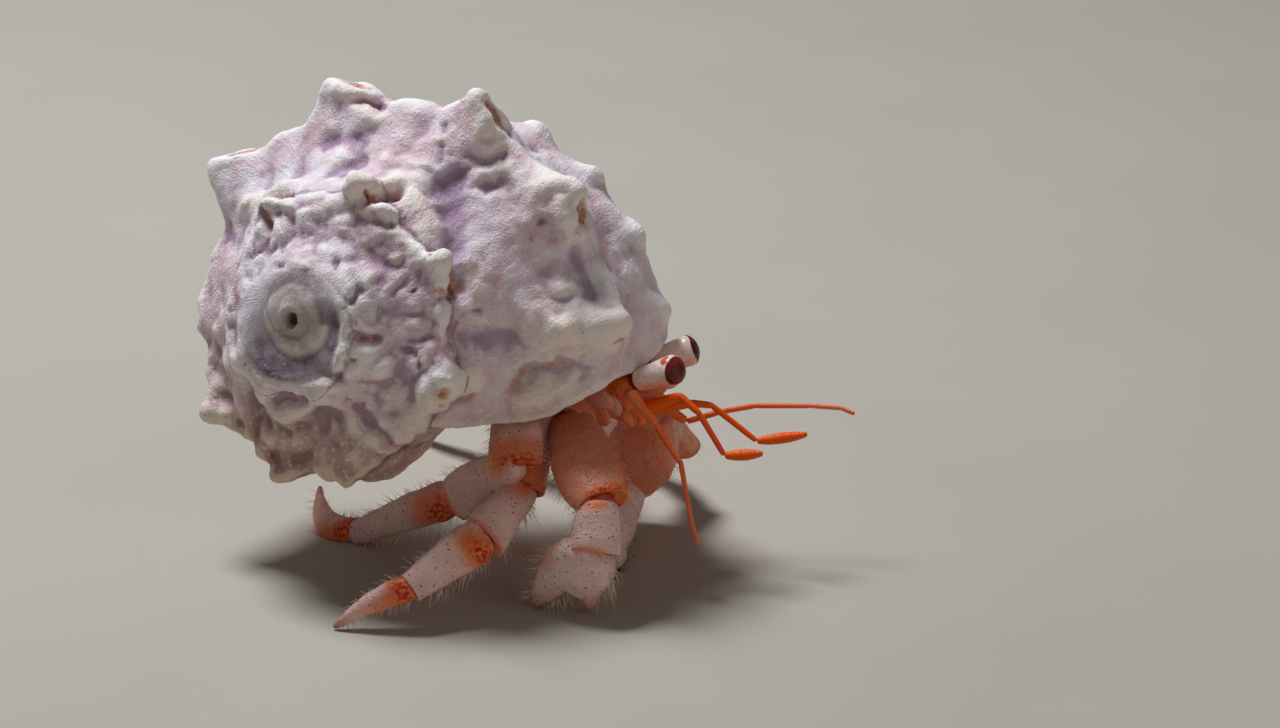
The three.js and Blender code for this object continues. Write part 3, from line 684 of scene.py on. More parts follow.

# %% [markdown]
# ## Strokes
# Single hoods, lobes, pits and creases can't come from noise. They are put on one by one, as a sculptor
# would: a stroke is a short line with a radius and a height, its edge wanders a little, and it may leave
# a rusty or a violet tint behind; under the rim the rusty tint is painted shade.

# %% Sculpting strokes
# Start, end, radius, height and tint. Lengths are in millimetres in the drawing frame; a negative height
# carves. A positive tint is rust, and in the strokes under the rim painted shade; a negative one is violet.
STROKES = [
    ((18.9, -12.8, 27.2), (24.6, -11.4, 26.7), 3.0, 2.0, 0),  # lobe
    ((15.1, -13.7, 21.6), (16.5, -12.2, 23.6), 0.8, -0.9, 0.8),  # lobe_groove_a
    ((16.5, -12.2, 23.6), (19.3, -10.6, 23.7), 0.5, -0.9, 0.9),  # lobe_groove_b
    ((19.3, -10.6, 23.7), (24.0, -5.5, 22.8), 0.5, -0.9, 0.9),  # lobe_groove_c
    ((16.5, -13.3, 20.7), (19.6, -11.0, 21.2), 1.7, 1.1, 0),  # low_lobe
    ((17.9, -12.9, 19.4), (19.1, -12.1, 19.5), 0.9, 0.5, 0),  # low_lobe_tip
    ((11.6, -16.2, 27.6), (14.8, -12.6, 26.8), 2, -0.9, -0.5),  # seam_trough
    ((9.2, -17.1, 36.0), (10.5, -13.0, 34.8), 1.2, 1.1, 0),  # hood3_top
    ((10.9, -12.7, 34.2), (11.7, -13.8, 32.1), 1.0, 0.6, 0),  # hood3_side
    ((9.2, -15.0, 33.9), (10.0, -15.6, 32.4), 1.1, -0.8, 0.9),  # hood3_mouth
    ((10.2, -16.6, 30.0), (12.4, -14.8, 30.1), 0.4, -0.6, 0.5),  # hood3_crease
    ((10.3, -16.8, 29.5), (10.7, -17.5, 25.2), 0.5, -0.9, 0.4),  # seam_dark
    ((9.0, -19.9, 22.4), (11.7, -16.6, 24.2), 1.7, 1.2, 0),  # hood4
    ((10.2, -17.7, 21.0), (11.7, -16.8, 21.9), 0.9, -0.6, 0.8),  # hood4_mouth
    ((12.5, -6.1, 41.2), (15.6, -6.8, 40.4), 1.3, 0.6, 0),  # fold_c_top
    ((15.6, -6.7, 40.5), (19.1, -6.2, 41.4), 1.5, 0.8, 0),  # fold_c_back
    ((19.1, -6.2, 41.4), (21.2, -6.5, 40.3), 1.6, 1.0, 0),  # fold_c_tip
    ((15.7, -9.7, 36.2), (17.0, -9.0, 38.2), 0.55, -1.0, 1),  # fold_c_mouth
    ((21.0, -6.3, 39.3), (21.4, -5.6, 37.3), 0.8, -1, 0.9),  # fold_c_slot
    ((18.5, -8.1, 39.4), (19.1, -6.7, 35.2), 1.2, 0.9, 0),  # fold_c_hang
    ((19.9, -7.3, 33.9), (21.7, -8.9, 31.0), 1.3, -0.6, -0.5),  # fold_c_hollow
    ((19.0, -9.5, 31.4), (19.9, -8.8, 31.7), 1.2, 0.7, 0),  # white_bump
    ((6.6, -7.9, 41.0), (9.4, -13.4, 35.9), 2.2, -1.1, -1),  # violet_trough
    ((-1.0, -12.9, 41.5), (2.5, -9.9, 40.8), 1.3, 1.2, 0),  # hood2_top
    ((2.7, -9.9, 40.8), (7.2, -12.5, 37.7), 1.9, 1.0, 0),  # hood2_fold
    ((0.4, -13.3, 40.6), (2.8, -11.3, 40.2), 0.7, -1.4, 1),  # hood2_mouth
    ((-0.1, -13.6, 39.4), (3.1, -14.1, 39.1), 0.7, 0.55, 0.2),  # hood2_lip
    ((0.5, -14.3, 38.1), (2.8, -14.7, 38.1), 0.5, -0.7, 0.7),  # hood2_under
    ((-14.9, -5.5, 35.8), (-9.7, -7.9, 38.6), 1.2, 1.1, 0),  # hood1_top
    ((-10.9, -11.1, 38.0), (-8.0, -12.3, 38.2), 0.6, 0.9, 0.1),  # hood1_lip
    ((-11.4, -7.6, 37.5), (-8.2, -11.5, 39.3), 0.4, -0.8, 0.9),  # hood1_mouth
    ((-11.3, -11.8, 36.9), (-10.5, -12.5, 36.2), 0.7, -1, 0.9),  # hood1_low
    ((-6.7, -1.3, 47.2), (-2.0, -2.6, 44.6), 0.9, 0.8, 0),  # horn_ridge
    ((-4.5, -2.0, 46.4), (-2.4, -1.3, 45.9), 0.7, -1.1, 0.6),  # horn_scoop
    ((-7.1, -3.9, 42.6), (-4.0, -4.7, 43.2), 1.2, -0.6, -0.6),  # horn_foot
    ((8.9, -3.9, 48.5), (10.2, -4.9, 43.7), 1.6, 0.7, 0),  # peak_face
    ((5.0, -3.9, 45.6), (6.0, -7.6, 42.1), 0.3, -0.5, 0.2),  # peak_crack
    ((7.0, -6.9, 43.0), (11.4, -5.2, 42.7), 1.0, -0.6, -0.6),  # peak_foot
    ((9.6, -3.5, 48.0), (9.7, -3.3, 47.7), 0.5, -0.7, 0.7),  # peak_pit_a
    ((11.0, -2.7, 46.6), (11.5, -2.0, 44.8), 0.7, -1, 0.7),  # peak_pit_b
    ((9.4, -3.9, 48.2), (10.9, -3.7, 44.8), 0.45, 0.5, 0),  # peak_edge
    ((-5.5, -8.1, 40.9), (-3.3, -6.5, 41.2), 1.1, -0.7, -0.7),  # pink_pit
    ((-0.1, -6.4, 42.2), (5.3, -7.6, 42.2), 1, 0.5, 0),  # ripple
    ((7.6, -7.9, 40.2), (12.6, -6.5, 40.8), 1.0, -0.6, -0.6),  # shelf
    ((9.9, -5.7, 42.0), (12.1, -5.6, 42.0), 1.2, 0.5, 0),  # bulge
    ((-8.3, -15.8, 33.6), (-7.8, -16.2, 33.6), 0.45, -0.7, 0.9),  # pit_a
    ((-2.2, -16.6, 35.1), (-1.5, -17.9, 34.1), 0.35, -0.7, 0.8),  # pit_b
    ((0.6, -19.4, 31.8), (1.2, -18.8, 32.4), 0.5, -0.9, 0.9),  # pit_c
    ((1.4, -20.4, 28.2), (2.9, -19.8, 27.7), 0.65, -1, 1),  # pit_d
    ((6.2, -19.2, 26.9), (6.6, -19.2, 26.8), 0.5, -0.6, 0.5),  # pit_e
    ((2.8, -16.2, 34.8), (3.1, -16.4, 34.7), 0.35, -0.6, 0.8),  # pit_f
    # The rusty tint of the three under-rim strokes is painted shade: the dark orange shade under the rim's
    # overhang.
    ((-8.2, -18.5, 19.6), (-5.0, -20.0, 20.5), 0.8, -1, 0.5),  # under_rim_a
    ((-12.6, -16.5, 21.9), (-11.9, -14.0, 18.7), 0.7, -0.9, 0.4),  # under_rim_b
    ((-2.0, -21.4, 24.7), (-0.5, -21.0, 24.0), 0.6, -0.8, 0.6),  # under_rim_c
    ((-8.1, -12.5, 37.5), (-2.1, -13.2, 39.5), 1, 0.45, 0),  # seam_edge_a
    ((2.6, -14.7, 37.8), (8.5, -17.6, 35.2), 1, 0.6, 0),  # seam_edge_b
    ((9.1, -17.3, 33.7), (10.1, -17.7, 26.9), 0.9, 0.3, 0),  # seam_edge_c
    ((0.8, -20.9, 26.9), (3.2, -20.1, 25.3), 1.2, 0.6, 0),  # low_lump_a
    ((-3.3, -20.7, 21.6), (-1.3, -21.1, 23.0), 0.9, 0.7, 0),  # low_lump_b
    ((-10.1, -16.5, 19.2), (-10.1, -15.2, 14.4), 0.8, 0.7, 0),  # low_lump_c
    ((5.4, -19.5, 21.8), (7.5, -19.6, 19.5), 1.4, 0.6, 0),  # low_lump_f
    ((-7.2, -16.5, 16.3), (-2.0, -19.3, 18.9), 1.3, -0.7, 0.2),  # low_hollow_a
    ((1.2, -19.5, 20.4), (3.8, -19.5, 17.5), 1, -0.6, 0.15),  # low_hollow_b
    ((-15.5, -11.7, 16.9), (-14.1, -12.3, 14.6), 1, -0.7, 0.2),  # low_hollow_c
]


# Without a seed the vector noise would start from the clock and wander differently in each run.
noise.seed_set(7)


def wander(place):
    """A small shift that makes the strokes' edges wander."""
    point = Vector(place)
    return 0.55 * noise.noise_vector(point / 1.9) + 0.22 * noise.noise_vector(point / 0.7)


def stroke_relief(places):
    """How far the strokes lift each place, and how rusty or painted with shade, violet and built up they
    leave it.
    """
    raised, carved, rust, violet = np.zeros((4, len(places)))
    places = places + np.array([wander(place) for place in places])
    for start, end, radius, height, tint in STROKES:
        first, way = np.array(start), np.array(end) - np.array(start)
        share = np.clip((places - first) @ way / (way @ way), 0, 1)
        mark = np.exp(-((np.linalg.norm(places - first - share[:, None] * way, axis=1) / radius) ** 2))
        raised = np.maximum(raised, height * mark)
        carved = np.minimum(carved, height * mark)
        rust = np.maximum(rust, tint * mark)
        violet = np.maximum(violet, -tint * mark)
    raised = raised * (0.88 + 0.25 * ripples(places, 2.2, 6.0, 2))
    return raised + carved, {"rust": rust, "violet": violet, "hood": np.clip(raised / 1.3, 0, 1)}


stroke_lift, stroke_tints = stroke_relief(shell_places)
print(len(STROKES), "strokes, lifting up to", round(float(stroke_lift.max()), 1), "mm")

# %% [markdown]
# ## Wear and lumps
# The sea has worked on this shell. The tip is ground to a smooth shallow dish with a pin hole and a
# raised rim; the whorl round it is lumpy and pitted; the last whorl is only rippled. Places are read
# in the shell's own coordinates, so each kind of wear stays on its own stretch of the spiral.

# %% The dish ground into the tip
# Centres are across and down from the apex, as the spire is looked at.
DISH_CENTRE = (-0.75, 1.1)
DISH_RADII = (6.6, 5.8)
DISH_DEPTH = 1.5
SHALLOW_DEPTH = 0.9
COIL_CENTRE = (0.1, 0.4)
COIL_RADIUS = 3.6
PIN = (-0.4, 0.45)
PIN_RING = 1.15
PIN_HOLE = 0.66
PIN_DEPTH = 1.4


def spire_places(places):
    """Places as seen along the axis: right, down and depth, from the apex."""
    offset = places - np.array(APEX)
    return offset @ np.array(LEVEL), offset @ np.array(DOWNWARD), -offset @ np.array(AXIS)


def tip_shares(right, down, depth):
    """How far out each place lies in the dish, and its shares of dish, rim and the rim's side."""
    wobble = 0.02 * np.sin(6 * np.arctan2(down, right)) + 0.02 * fine_ripples
    reach = np.hypot((right - DISH_CENTRE[0]) / DISH_RADII[0], (down - DISH_CENTRE[1]) / DISH_RADII[1])
    reach = reach + wobble
    spireward = smoothstep(8.0 - depth, 0.0, 3.0)
    rim_side = smoothstep(down + 0.4 * right, -1.5, 2.5)
    blend = mix(0.4, 0.06, rim_side)
    dish = (1 - smoothstep(reach, 0.98 - blend, 0.98 + blend)) * spireward
    rim = np.exp(-(((reach - 1.07) / 0.08) ** 2)) * spireward * rim_side
    return reach, spireward, rim_side, dish, rim


def dish_floor(right, down, reach, rim_side):
    """Depth of the dish below the apex, its coil and groove, and how far each place is from the pin."""
    turned = np.arctan2(down - COIL_CENTRE[1], -(right - COIL_CENTRE[0])) / math.pi
    coil = np.hypot(right - COIL_CENTRE[0], down - COIL_CENTRE[1]) - 0.55 * turned
    coil = coil + 0.12 * fine_ripples + 0.2 * broad_ripples
    mound = 1 - smoothstep(coil, COIL_RADIUS - 0.5, COIL_RADIUS + 0.3)
    groove = np.exp(-(((coil - COIL_RADIUS - 0.15) / 0.22) ** 2))
    from_pin = np.hypot(right - PIN[0], down - PIN[1])
    ring_wall = np.exp(-(((from_pin - PIN_RING) / 0.28) ** 2))
    floor = mix(SHALLOW_DEPTH, DISH_DEPTH, rim_side) + 0.5 * (1 - np.clip(reach, 0, 1) ** 2)
    floor = floor - 0.1 * mound + 0.1 * groove - 0.2 * ring_wall
    return floor - 0.12 * broad_ripples - 0.04 * fine_ripples, mound, groove, from_pin


right, down, depth = spire_places(shell_places)
reach, spireward, rim_side, dish, rim = tip_shares(right, down, depth)
floor, mound, groove, from_pin = dish_floor(right, down, reach, rim_side)
print("the dish takes up", int((dish > 0.5).sum()), "vertices")


# %% Lumps and pits
def lump_lift(places, ring):
    """How far lumps, pits and swellings lift each place, and where the pits are."""
    rough = smoothstep(ring, 60, 150) * (1 - smoothstep(ring, 500, 620)) * (1 - dish)
    lower = smoothstep(down - 0.3 * right, 4.0, 9.0) * (1 - dish)
    coarse, fine = smoothstep(lumps(places, 3.2, 5.0), -0.1, 0.9), lumps(places, 1.5, 9.0)
    pits = np.clip(ripples(places, 1.7, 7.0, 2) * 2.4 - 1.25, 0, 1) * rough
    lift = rough * (1 - 0.8 * lower) * (0.42 * (coarse - 0.5) + 0.16 * (fine - 0.5))
    lift -= 0.3 * pits * (1 - 0.7 * lower)
    lift += 1.1 * lower * ripples(places, 4.4, 2.0, 2)
    lift += (0.4 * broad_ripples + 0.05 * (fine - 0.5)) * (1 - dish)
    return lift, pits


shell_ring = grid_values["ring"][shell_rows]
lumped, pits = lump_lift(shell_places, shell_ring)
print("lumps rise", round(float(lumped.max()), 1), "mm and pits sink", round(float(-lumped.min()), 1), "mm")

# %% Moving the skin
RIM_HEIGHT = 0.55
CALM_LIP = (30, 8)  # degrees before the lip's edge where carving starts to fade and has faded
# Where the lip is drawn up clear of the face: middle, reach and shift, in the drawing frame.
LIP_MIDDLE, LIP_REACH, LIP_SHIFT = (22.6, -8.6, 18.6), 4.6, (-0.2, 0.6, 2.3)


def worn_places(places, normals, ring, inner):
    """Where every vertex of the skin ends up. Lifts go outwards, on the hollow's side too."""
    calm = smoothstep(ring, ring.max() - CALM_LIP[0], ring.max() - CALM_LIP[1])
    lift = stroke_lift + lumped + RIM_HEIGHT * rim
    lift = mix(lift, np.maximum(lift, 0), calm)
    moved = places + (lift * np.where(inner < 0.5, 1, -1))[:, None] * normals
    sunk = (floor - depth) * dish * mix(0.7, 0.94, rim_side) + PIN_DEPTH * pin_hole
    moved = moved - sunk[:, None] * np.array(AXIS)
    near_lip = np.exp(-((np.linalg.norm(places - np.array(LIP_MIDDLE), axis=1) / LIP_REACH) ** 2))
    return moved + near_lip[:, None] * np.array(LIP_SHIFT)


pin_hole = (1 - smoothstep(from_pin, PIN_HOLE * 0.6, PIN_HOLE * 1.3)) * spireward
worn = worn_places(shell_places, vertex_normals(shell_mesh), shell_ring, grid_values["inner"][shell_rows])
move_vertices(shell_mesh, worn)
print("the skin moved by up to", round(float(np.linalg.norm(worn - shell_places, axis=1).max()), 1), "mm")

# %% Masks for the colours
RIDGE_ROUNDS = 14
RIDGE_HEIGHT = 0.6

ridge = worn - averaged(worn, mesh_edges(shell_mesh), RIDGE_ROUNDS)
ridge = np.einsum("ij,ij->i", ridge, vertex_normals(shell_mesh))
pin_line = 0.6 * np.exp(-(((from_pin - 1.75) / 0.2) ** 2))
shell_masks = {
    "growth": shell_ring / 10,
    "scoop": grid_values["scoop"][shell_rows],
    "ridge": np.clip(0.5 + ridge / RIDGE_HEIGHT, 0, 1),
    "pit": np.maximum(pits, pin_hole),
    "dish": dish,
    "plum": dish * smoothstep(down + 0.7 * right, -2.5, 2.5),
    "rim": rim,
    "coil": np.maximum(mound, 0) * dish,
    "coil_line": np.maximum(groove, pin_line) * dish,
    **stroke_tints,
}
for name, mask in shell_masks.items():
    give_attribute(shell_mesh, name, mask)
print("ridges stand", round(float(ridge.max()), 2), "mm above the skin round them")

# %% [markdown]
# ## The worn shell's finish
# Chalky whites and lavenders in slow clouds, darker and browner towards the bottom (partly the shell's own
# beige, partly painted shade), painted shade of plum grey and brown in the hollows, a painted highlight of
# white and cream on the highest ridges, rusty orange inside the scoops and pits, painted shade in rusty
# orange under the rim, and fine growth lines that follow the lip.

# %% Shell finish
def shell_look():
    look = Finish("worn_shell", Roughness=0.62, Specular_IOR_Level=0.35)
    place = look.place
    ridge, grown = look.attribute("ridge"), look.attribute("growth")
    pit, dish, coil = look.attribute("pit"), look.attribute("dish"), look.attribute("coil")
    height = place.node("ShaderNodeSeparateXYZ", {}, {0: place}, output=2)
    broad = place.clouds(7.0, 3.0)
    middle = place.clouds(2.2, 4.0)
    small = place.clouds(0.5, 3.0, 0.6)
    # Partly painted shade: towards the bottom the shell turns darker and browner, partly its own beige and
    # partly painted shade.
    low = 1.0 - (height * 1000 + (broad - 0.5) * 12).ramp(10.0, 27.0)
    chalk = broad.ramp(0.35, 0.65).tint(paint(240, 232, 238), paint(226, 196, 202))
    chalk = (middle.ramp(0.48, 0.7) * 0.75).tint(chalk, paint(224, 184, 194))
    chalk = (low * 0.9).tint(chalk, paint(188, 144, 124))
    chalk = small.ramp(0.5, 0.8).tint(chalk, paint(246, 240, 244))
    # Painted shade: the hollows, read from the ridge mask, darken to plum grey high up and brown low down.
    hollow = (1.0 - ridge.ramp(0.2, 0.52)) * (0.5 + middle * 0.8)
    chalk = (hollow * 0.8).tint(chalk, low.tint(paint(158, 124, 152), paint(124, 84, 66)))
    # Painted highlight: the highest ridges are whitened, and cream low down.
    crest_highlight = ridge.ramp(0.58, 0.85)
    chalk = (crest_highlight * 0.8).tint(chalk, low.tint(paint(252, 246, 244), paint(228, 206, 178)))
    built_up = low.tint(paint(248, 224, 200), paint(222, 190, 160))
    chalk = (look.attribute("hood") * 0.6).tint(chalk, built_up)
    violet = look.attribute("violet") + (middle - 0.5) * 0.6
    chalk = (violet.ramp(0.2, 0.9) * 0.65).tint(chalk, paint(164, 132, 168))
    plum = middle.ramp(0.35, 0.7).tint(paint(150, 134, 148), paint(100, 76, 86))
    plum = (small.ramp(0.5, 0.8) * 0.5).tint(plum, paint(190, 180, 186))
    tan = middle.ramp(0.3, 0.7).tint(paint(240, 222, 208), paint(206, 182, 172))
    plum = (coil * 0.85).tint(plum, tan)
    plum = (look.attribute("coil_line") * 0.55).tint(plum, paint(118, 96, 104))
    chalk = (dish * 0.5).tint(chalk, coil.tint(paint(192, 178, 188), tan))
    chalk = (look.attribute("plum") * (0.55 + middle * 0.6)).tint(chalk, plum)
    chalk = (look.attribute("rim") * small.ramp(0.2, 0.6) * 0.7).tint(chalk, paint(226, 216, 210))
    # Rusty orange in the scoops' mouths and the carved strokes; in the strokes under the rim it is painted
    # shade.
    rust = small.ramp(0.35, 0.7).tint(paint(156, 90, 60), paint(226, 172, 130))
    mouth = (look.attribute("scoop") * 1.5).ramp(0.35, 0.95) * (1.15 - ridge).ramp(0.25, 0.62)
    carved = look.attribute("rust") + (small - 0.5) * 0.5 + (middle - 0.5) * 0.5
    mouth = mouth.math("MAXIMUM", carved.ramp(0.42, 0.95))
    chalk = (mouth * 0.9).tint(chalk, rust)
    chalk = (pit.ramp(0.15, 0.7) * 0.85).tint(chalk, paint(136, 88, 70))
    specks = 1.0 - place.cells(1.0).ramp(0.06, 0.1)
    chalk = (specks * place.clouds(3.0).ramp(0.45, 0.6) * 0.8).tint(chalk, paint(58, 44, 44))
    grit = 1.0 - place.cells(0.6).ramp(0.1, 0.16)
    chalk = (grit * place.clouds(4.0).ramp(0.5, 0.6) * 0.8).tint(chalk, paint(255, 250, 240))
    look.feed("Base Color", chalk)
    line_sockets = {"W": grown * 2.6 + middle * 0.5, "Scale": 3.0, "Detail": 2.0}
    lines = place.node("ShaderNodeTexNoise", {"noise_dimensions": "1D"}, line_sockets)
    look.relief(small * 0.7 + lines * 0.45 + place.clouds(0.22) * 0.5, 0.17)
    look.feed("Roughness", 0.5 + small * 0.3)
    return look


finish_mesh(shell_mesh, "worn_shell", shell_look(), ["shell"])


# %% [markdown]
# ## The limbs
# A crab's limb is a chain of hard tubes with soft skin at the joints. Each tube is broad one way and
# flat the other, swells towards its far end and ends in a shallow socket for the next. A limb is laid
# out like a ruler that folds: every piece has a length, a heading and a pitch, and starts where the
# last one ended. Where a leg's last pitch is left open, it is worked out so that the tip meets the floor.

# %% Limb tables
# Kind of piece, length, heading, pitch, width, thickness, bow, and at times a facing of its own.
LIMBS = {
    "leg2_r": ((15.9, -3.4, 17.2), (0.25, -1, 0.3), [
        ("coxa", 3.0, -92, -18, 3.4, 3.0, 0),
        ("merus", 8.0, -90, -45, 4.0, 2.7, 0),
        ("carpus", 7.9, -108, -18, 4.6, 2.8, 0),
        ("propodus", 8.9, -133, -25, 4.4, 2.8, 0),
        ("dactyl", 8.6, -162, None, 2.9, 2.2, 0.4),
    ]),
    "leg3_r": ((13.5, -4.6, 18.6), (0.1, -1, 0.35), [
        ("coxa", 4.6, -84, -8, 3.4, 3.0, 0),
        ("merus", 6.0, -72, -42, 5.6, 2.8, 0),
        ("carpus", 10.6, 151, -33, 4.6, 2.8, 0),
        ("propodus", 15.0, 158.6, -29, 3.9, 2.8, 0),
        ("dactyl", 7.3, 144, 23, 4.0, 2.6, -1.8),
    ]),
    "leg2_l": ((18.4, 3.6, 16.4), (0.4, 1, 0.3), [
        ("coxa", 5.4, 52, -17, 3.4, 3.0, 0),
        ("merus", 11.0, 66, -48, 5.2, 3.0, 0),
        ("carpus", 7.2, 127, -4, 4.0, 2.8, 0),
        ("propodus", 9.3, 159, -6, 3.9, 2.6, 0),
        ("dactyl", 8.8, 172, None, 2.9, 2.2, 0.5),
    ]),
    "leg3_l": ((14.6, 5.0, 18.0), (0.1, 1, 0.35), [
        ("coxa", 4.2, 95, -18, 3.4, 3.0, 0),
        ("merus", 6.8, 108, -34, 4.4, 2.8, 0),
        ("carpus", 8.2, 152, -20, 3.9, 2.8, 0),
        ("propodus", 11.0, 152, -24, 3.4, 2.6, 0),
        ("dactyl", 8.0, 150, None, 2.9, 2.2, 0.4),
    ]),
    "cheliped_r": ((19.6, -3.0, 17.4), (0.35, -1, 0.3), [
        ("ischium", 3.6, -100, -20, 4.4, 3.8, 0),
        ("arm", 11.4, -58, -25, 7.4, 4.0, 0.2),
        ("wrist", 4.8, -88, -65, 4.9, 3.8, 0),
        ("palm", 4.8, 175, -54, 6.6, 3.8, 0),
    ]),
    "cheliped_l": ((21.0, 2.8, 15.6), (0.9, 0.1, 0.5), [
        ("ischium", 4.4, 40, -30, 4.0, 3.8, 0),
        ("arm", 9.8, 138, -66, 8.0, 4.4, 0, (0.3, -1, 0.4)),
        ("wrist", 4.2, -95, -20, 4.6, 4.2, 0),
        ("palm", 6.6, -84, -5, 5.6, 4.6, 0),
    ]),
}
# Kind, side of the palm, start after the palm's end, length, lean, width, thickness; the second finger
# is the one that moves.
FINGERS = {
    "cheliped_r": [("thumb", 1, -3.3, 8.4, -2, 3.2, 2.6), ("finger", -1, -2.2, 8.6, 24, 2.5, 2.5)],
    "cheliped_l": [("thumb", -1, -0.6, 4.8, 6, 2.5, 2.8), ("finger", 1, -0.1, 4.4, -4, 2.3, 2.5)],
}
# Place along the piece, then shares of the width above and below its middle line, and of the thickness.
SHAPES = {
    "coxa": [(0, 0.9, 0.9, 0.9), (1, 0.9, 0.9, 0.9)],
    "merus": [(0, 0.75, 0.75, 0.8), (0.5, 1, 0.95, 1), (0.85, 0.95, 1, 1), (1, 0.92, 0.95, 0.95)],
    "carpus": [
        (0, 0.54, 0.62, 0.74), (0.12, 0.76, 0.76, 0.9), (0.55, 1.02, 0.92, 1),
        (0.85, 1.0, 1.1, 1), (1, 0.88, 1.22, 0.95),
    ],
    "propodus": [
        (0, 0.82, 0.95, 0.88), (0.12, 0.98, 1.14, 1), (0.4, 0.95, 1.0, 0.98),
        (0.8, 0.76, 0.8, 0.88), (1, 0.68, 0.74, 0.8),
    ],
    "dactyl": [
        (0, 0.85, 0.85, 0.9), (0.1, 0.98, 0.98, 1), (0.45, 0.76, 0.78, 0.8),
        (0.8, 0.4, 0.44, 0.5), (1, 0.16, 0.16, 0.2),
    ],
    "ischium": [(0, 0.85, 0.85, 0.9), (1, 1, 1, 1)],
    "arm": [
        (0, 0.54, 0.6, 0.75), (0.12, 0.62, 0.76, 0.85), (0.45, 0.86, 1, 1),
        (0.75, 0.96, 0.96, 1), (0.93, 0.9, 0.74, 0.95), (1, 0.8, 0.62, 0.85),
    ],
    "wrist": [(0, 0.72, 0.72, 0.8), (0.2, 0.9, 0.86, 0.95), (0.7, 1.02, 1.02, 1), (1, 1.06, 1.1, 0.95)],
    "palm": [(0, 0.76, 0.74, 0.8), (0.2, 0.96, 0.98, 1), (0.6, 1.16, 1.02, 1), (1, 1.1, 0.8, 0.8)],
    "thumb": [
        (0, 0.9, 1.2, 0.95), (0.2, 1.2, 1.35, 1.15), (0.45, 1.2, 1.3, 1.1),
        (0.75, 0.8, 0.8, 0.75), (1, 0.28, 0.28, 0.3),
    ],
    "finger": [(0, 1, 1, 1), (0.4, 0.9, 0.9, 0.9), (0.8, 0.56, 0.56, 0.6), (1, 0.26, 0.26, 0.3)],
}
print(len(SHAPES), "shapes for", sum(len(pieces) for _, _, pieces in LIMBS.values()), "chained pieces")

# %% One hard piece
TIPPED = ("dactyl", "thumb", "finger")
# Shares of the length over which a shape's table is averaged, so that no corner shows.
SMOOTHING = (-0.06, -0.03, 0.0, 0.03, 0.06)
JOINT_REACH = 4.0
SQUARENESS = 0.86  # below 1 the section turns from an ellipse towards a box
# Rows that close each end: place along the piece and share of the outline.
ROUND_START = [(-0.13, 0.0), (-0.125, 0.34), (-0.1, 0.64), (-0.06, 0.85), (-0.02, 0.96)]
SOCKET_END = [(1.01, 1.0), (1.03, 0.97), (1.03, 0.92), (1.01, 0.87), (0.985, 0.6), (0.98, 0.0)]
TIP_END = [(0.985, 0.9), (1.0, 0.7), (1.012, 0.4), (1.016, 0.0)]


class Segment:
    """One hard piece of a limb."""

    def __init__(self, kind, start, way, length, width, thickness, bow, face, across):
        self.kind = kind
        self.start = np.array(start)
        self.along = np.array(way)
        self.end = start + way * length
        self.size = (length, width, thickness)
        self.bow = bow
        self.across = np.array(across)
        self.through = np.array((face - way * face.dot(way)).normalized())
        self.tipped = kind in TIPPED

    def surface(self, t, around, share=1.0):
        """Places and outward normals at shares of the way along and round the piece."""
        length, width, thickness = self.size
        table = np.array(SHAPES[self.kind])
        columns = table[:, 1:].T
        steps = [np.interp(t + shift, table[:, 0], column) for column in columns for shift in SMOOTHING]
        above, below, thick = np.array(steps).reshape(3, len(SMOOTHING), -1).mean(1) * share
        inside = np.clip(t, 0, 1)
        middle = (inside * length + (t - inside) * JOINT_REACH)[:, None] * self.along + self.start
        middle = middle + (self.bow * np.sin(math.pi * inside))[:, None] * self.across
        turn = 2 * math.pi * around
        cosine, sine = np.cos(turn), np.sin(turn)
        broad = np.sign(cosine) * np.abs(cosine) ** SQUARENESS * np.where(cosine > 0, above, below)
        flat = np.sign(sine) * np.abs(sine) ** SQUARENESS * thick
        places = middle + (broad * width / 2)[:, None] * self.across
        places = places + (flat * thickness / 2)[:, None] * self.through
        normals = (cosine / width)[:, None] * self.across + (sine / thickness)[:, None] * self.through
        return places, normals / np.linalg.norm(normals, axis=1)[:, None]


trial = Segment("merus", Vector(), direction(0, 0), 10.0, 4.0, 3.0, 0, Vector((0, 0, 1)), Vector((0, 1, 0)))
trial_places, _ = trial.surface(np.full(4, 0.5), np.array([0, 0.25, 0.5, 0.75]))
print("a merus 4 by 3 mm measures", np.round(np.ptp(trial_places, axis=0)[1:], 2), "midway")

# %% Chaining the pieces
TIP_LIFT = 0.3
FINGER_SPREAD = 0.25  # of the palm's width, to either side


def upward(across):
    return -across if across.z < 0 else across


def segments_of(limb):
    """The pieces of a limb, each starting where the one before it ended."""
    hip, facing, pieces = LIMBS[limb]
    start, found = Vector(hip), []
    for kind, length, heading, pitch, width, thickness, bow, *own in pieces:
        tilt = -math.degrees(math.asin((start.z - TIP_LIFT) / length)) if pitch is None else pitch
        way = direction(heading, tilt)
        face = Vector(own[0] if own else facing).normalized()
        across = upward(way.cross(face).normalized())
        found.append(Segment(kind, start, way, length, width, thickness, bow, face, across))
        start = found[-1].end
    for kind, side, back, length, lean, width, thickness in FINGERS.get(limb, []):
        palm = found[len(pieces) - 1]
        way = Vector(palm.along)
        face = Vector(facing).normalized()
        across = way.cross(face).normalized()
        if across.z < 0 or (abs(across.z) < 0.2 and across.x < 0):
            across.negate()
        root = palm.end + across * side * FINGER_SPREAD * palm.size[1] + way * back
        turn = math.radians(lean) * side
        way = way * math.cos(turn) + across * math.sin(turn)
        across = upward(way.cross(face).normalized())
        length = min(length, (root.z - TIP_LIFT) / -way.z) if way.z < 0 else length
        found.append(Segment(kind, root, way, length, width, thickness, 0, face, across))
    return found


limbs = {name: segments_of(name) for name in LIMBS}
print(sum(len(found) for found in limbs.values()), "hard pieces in", len(limbs), "limbs")

# %% [markdown]
# ## Rolling up tubes
# Every hard piece, feeler and eyestalk starts as one flat grid. Its columns go round the tube and its
# rows along it; the first and last row are drawn together, which closes the ends.

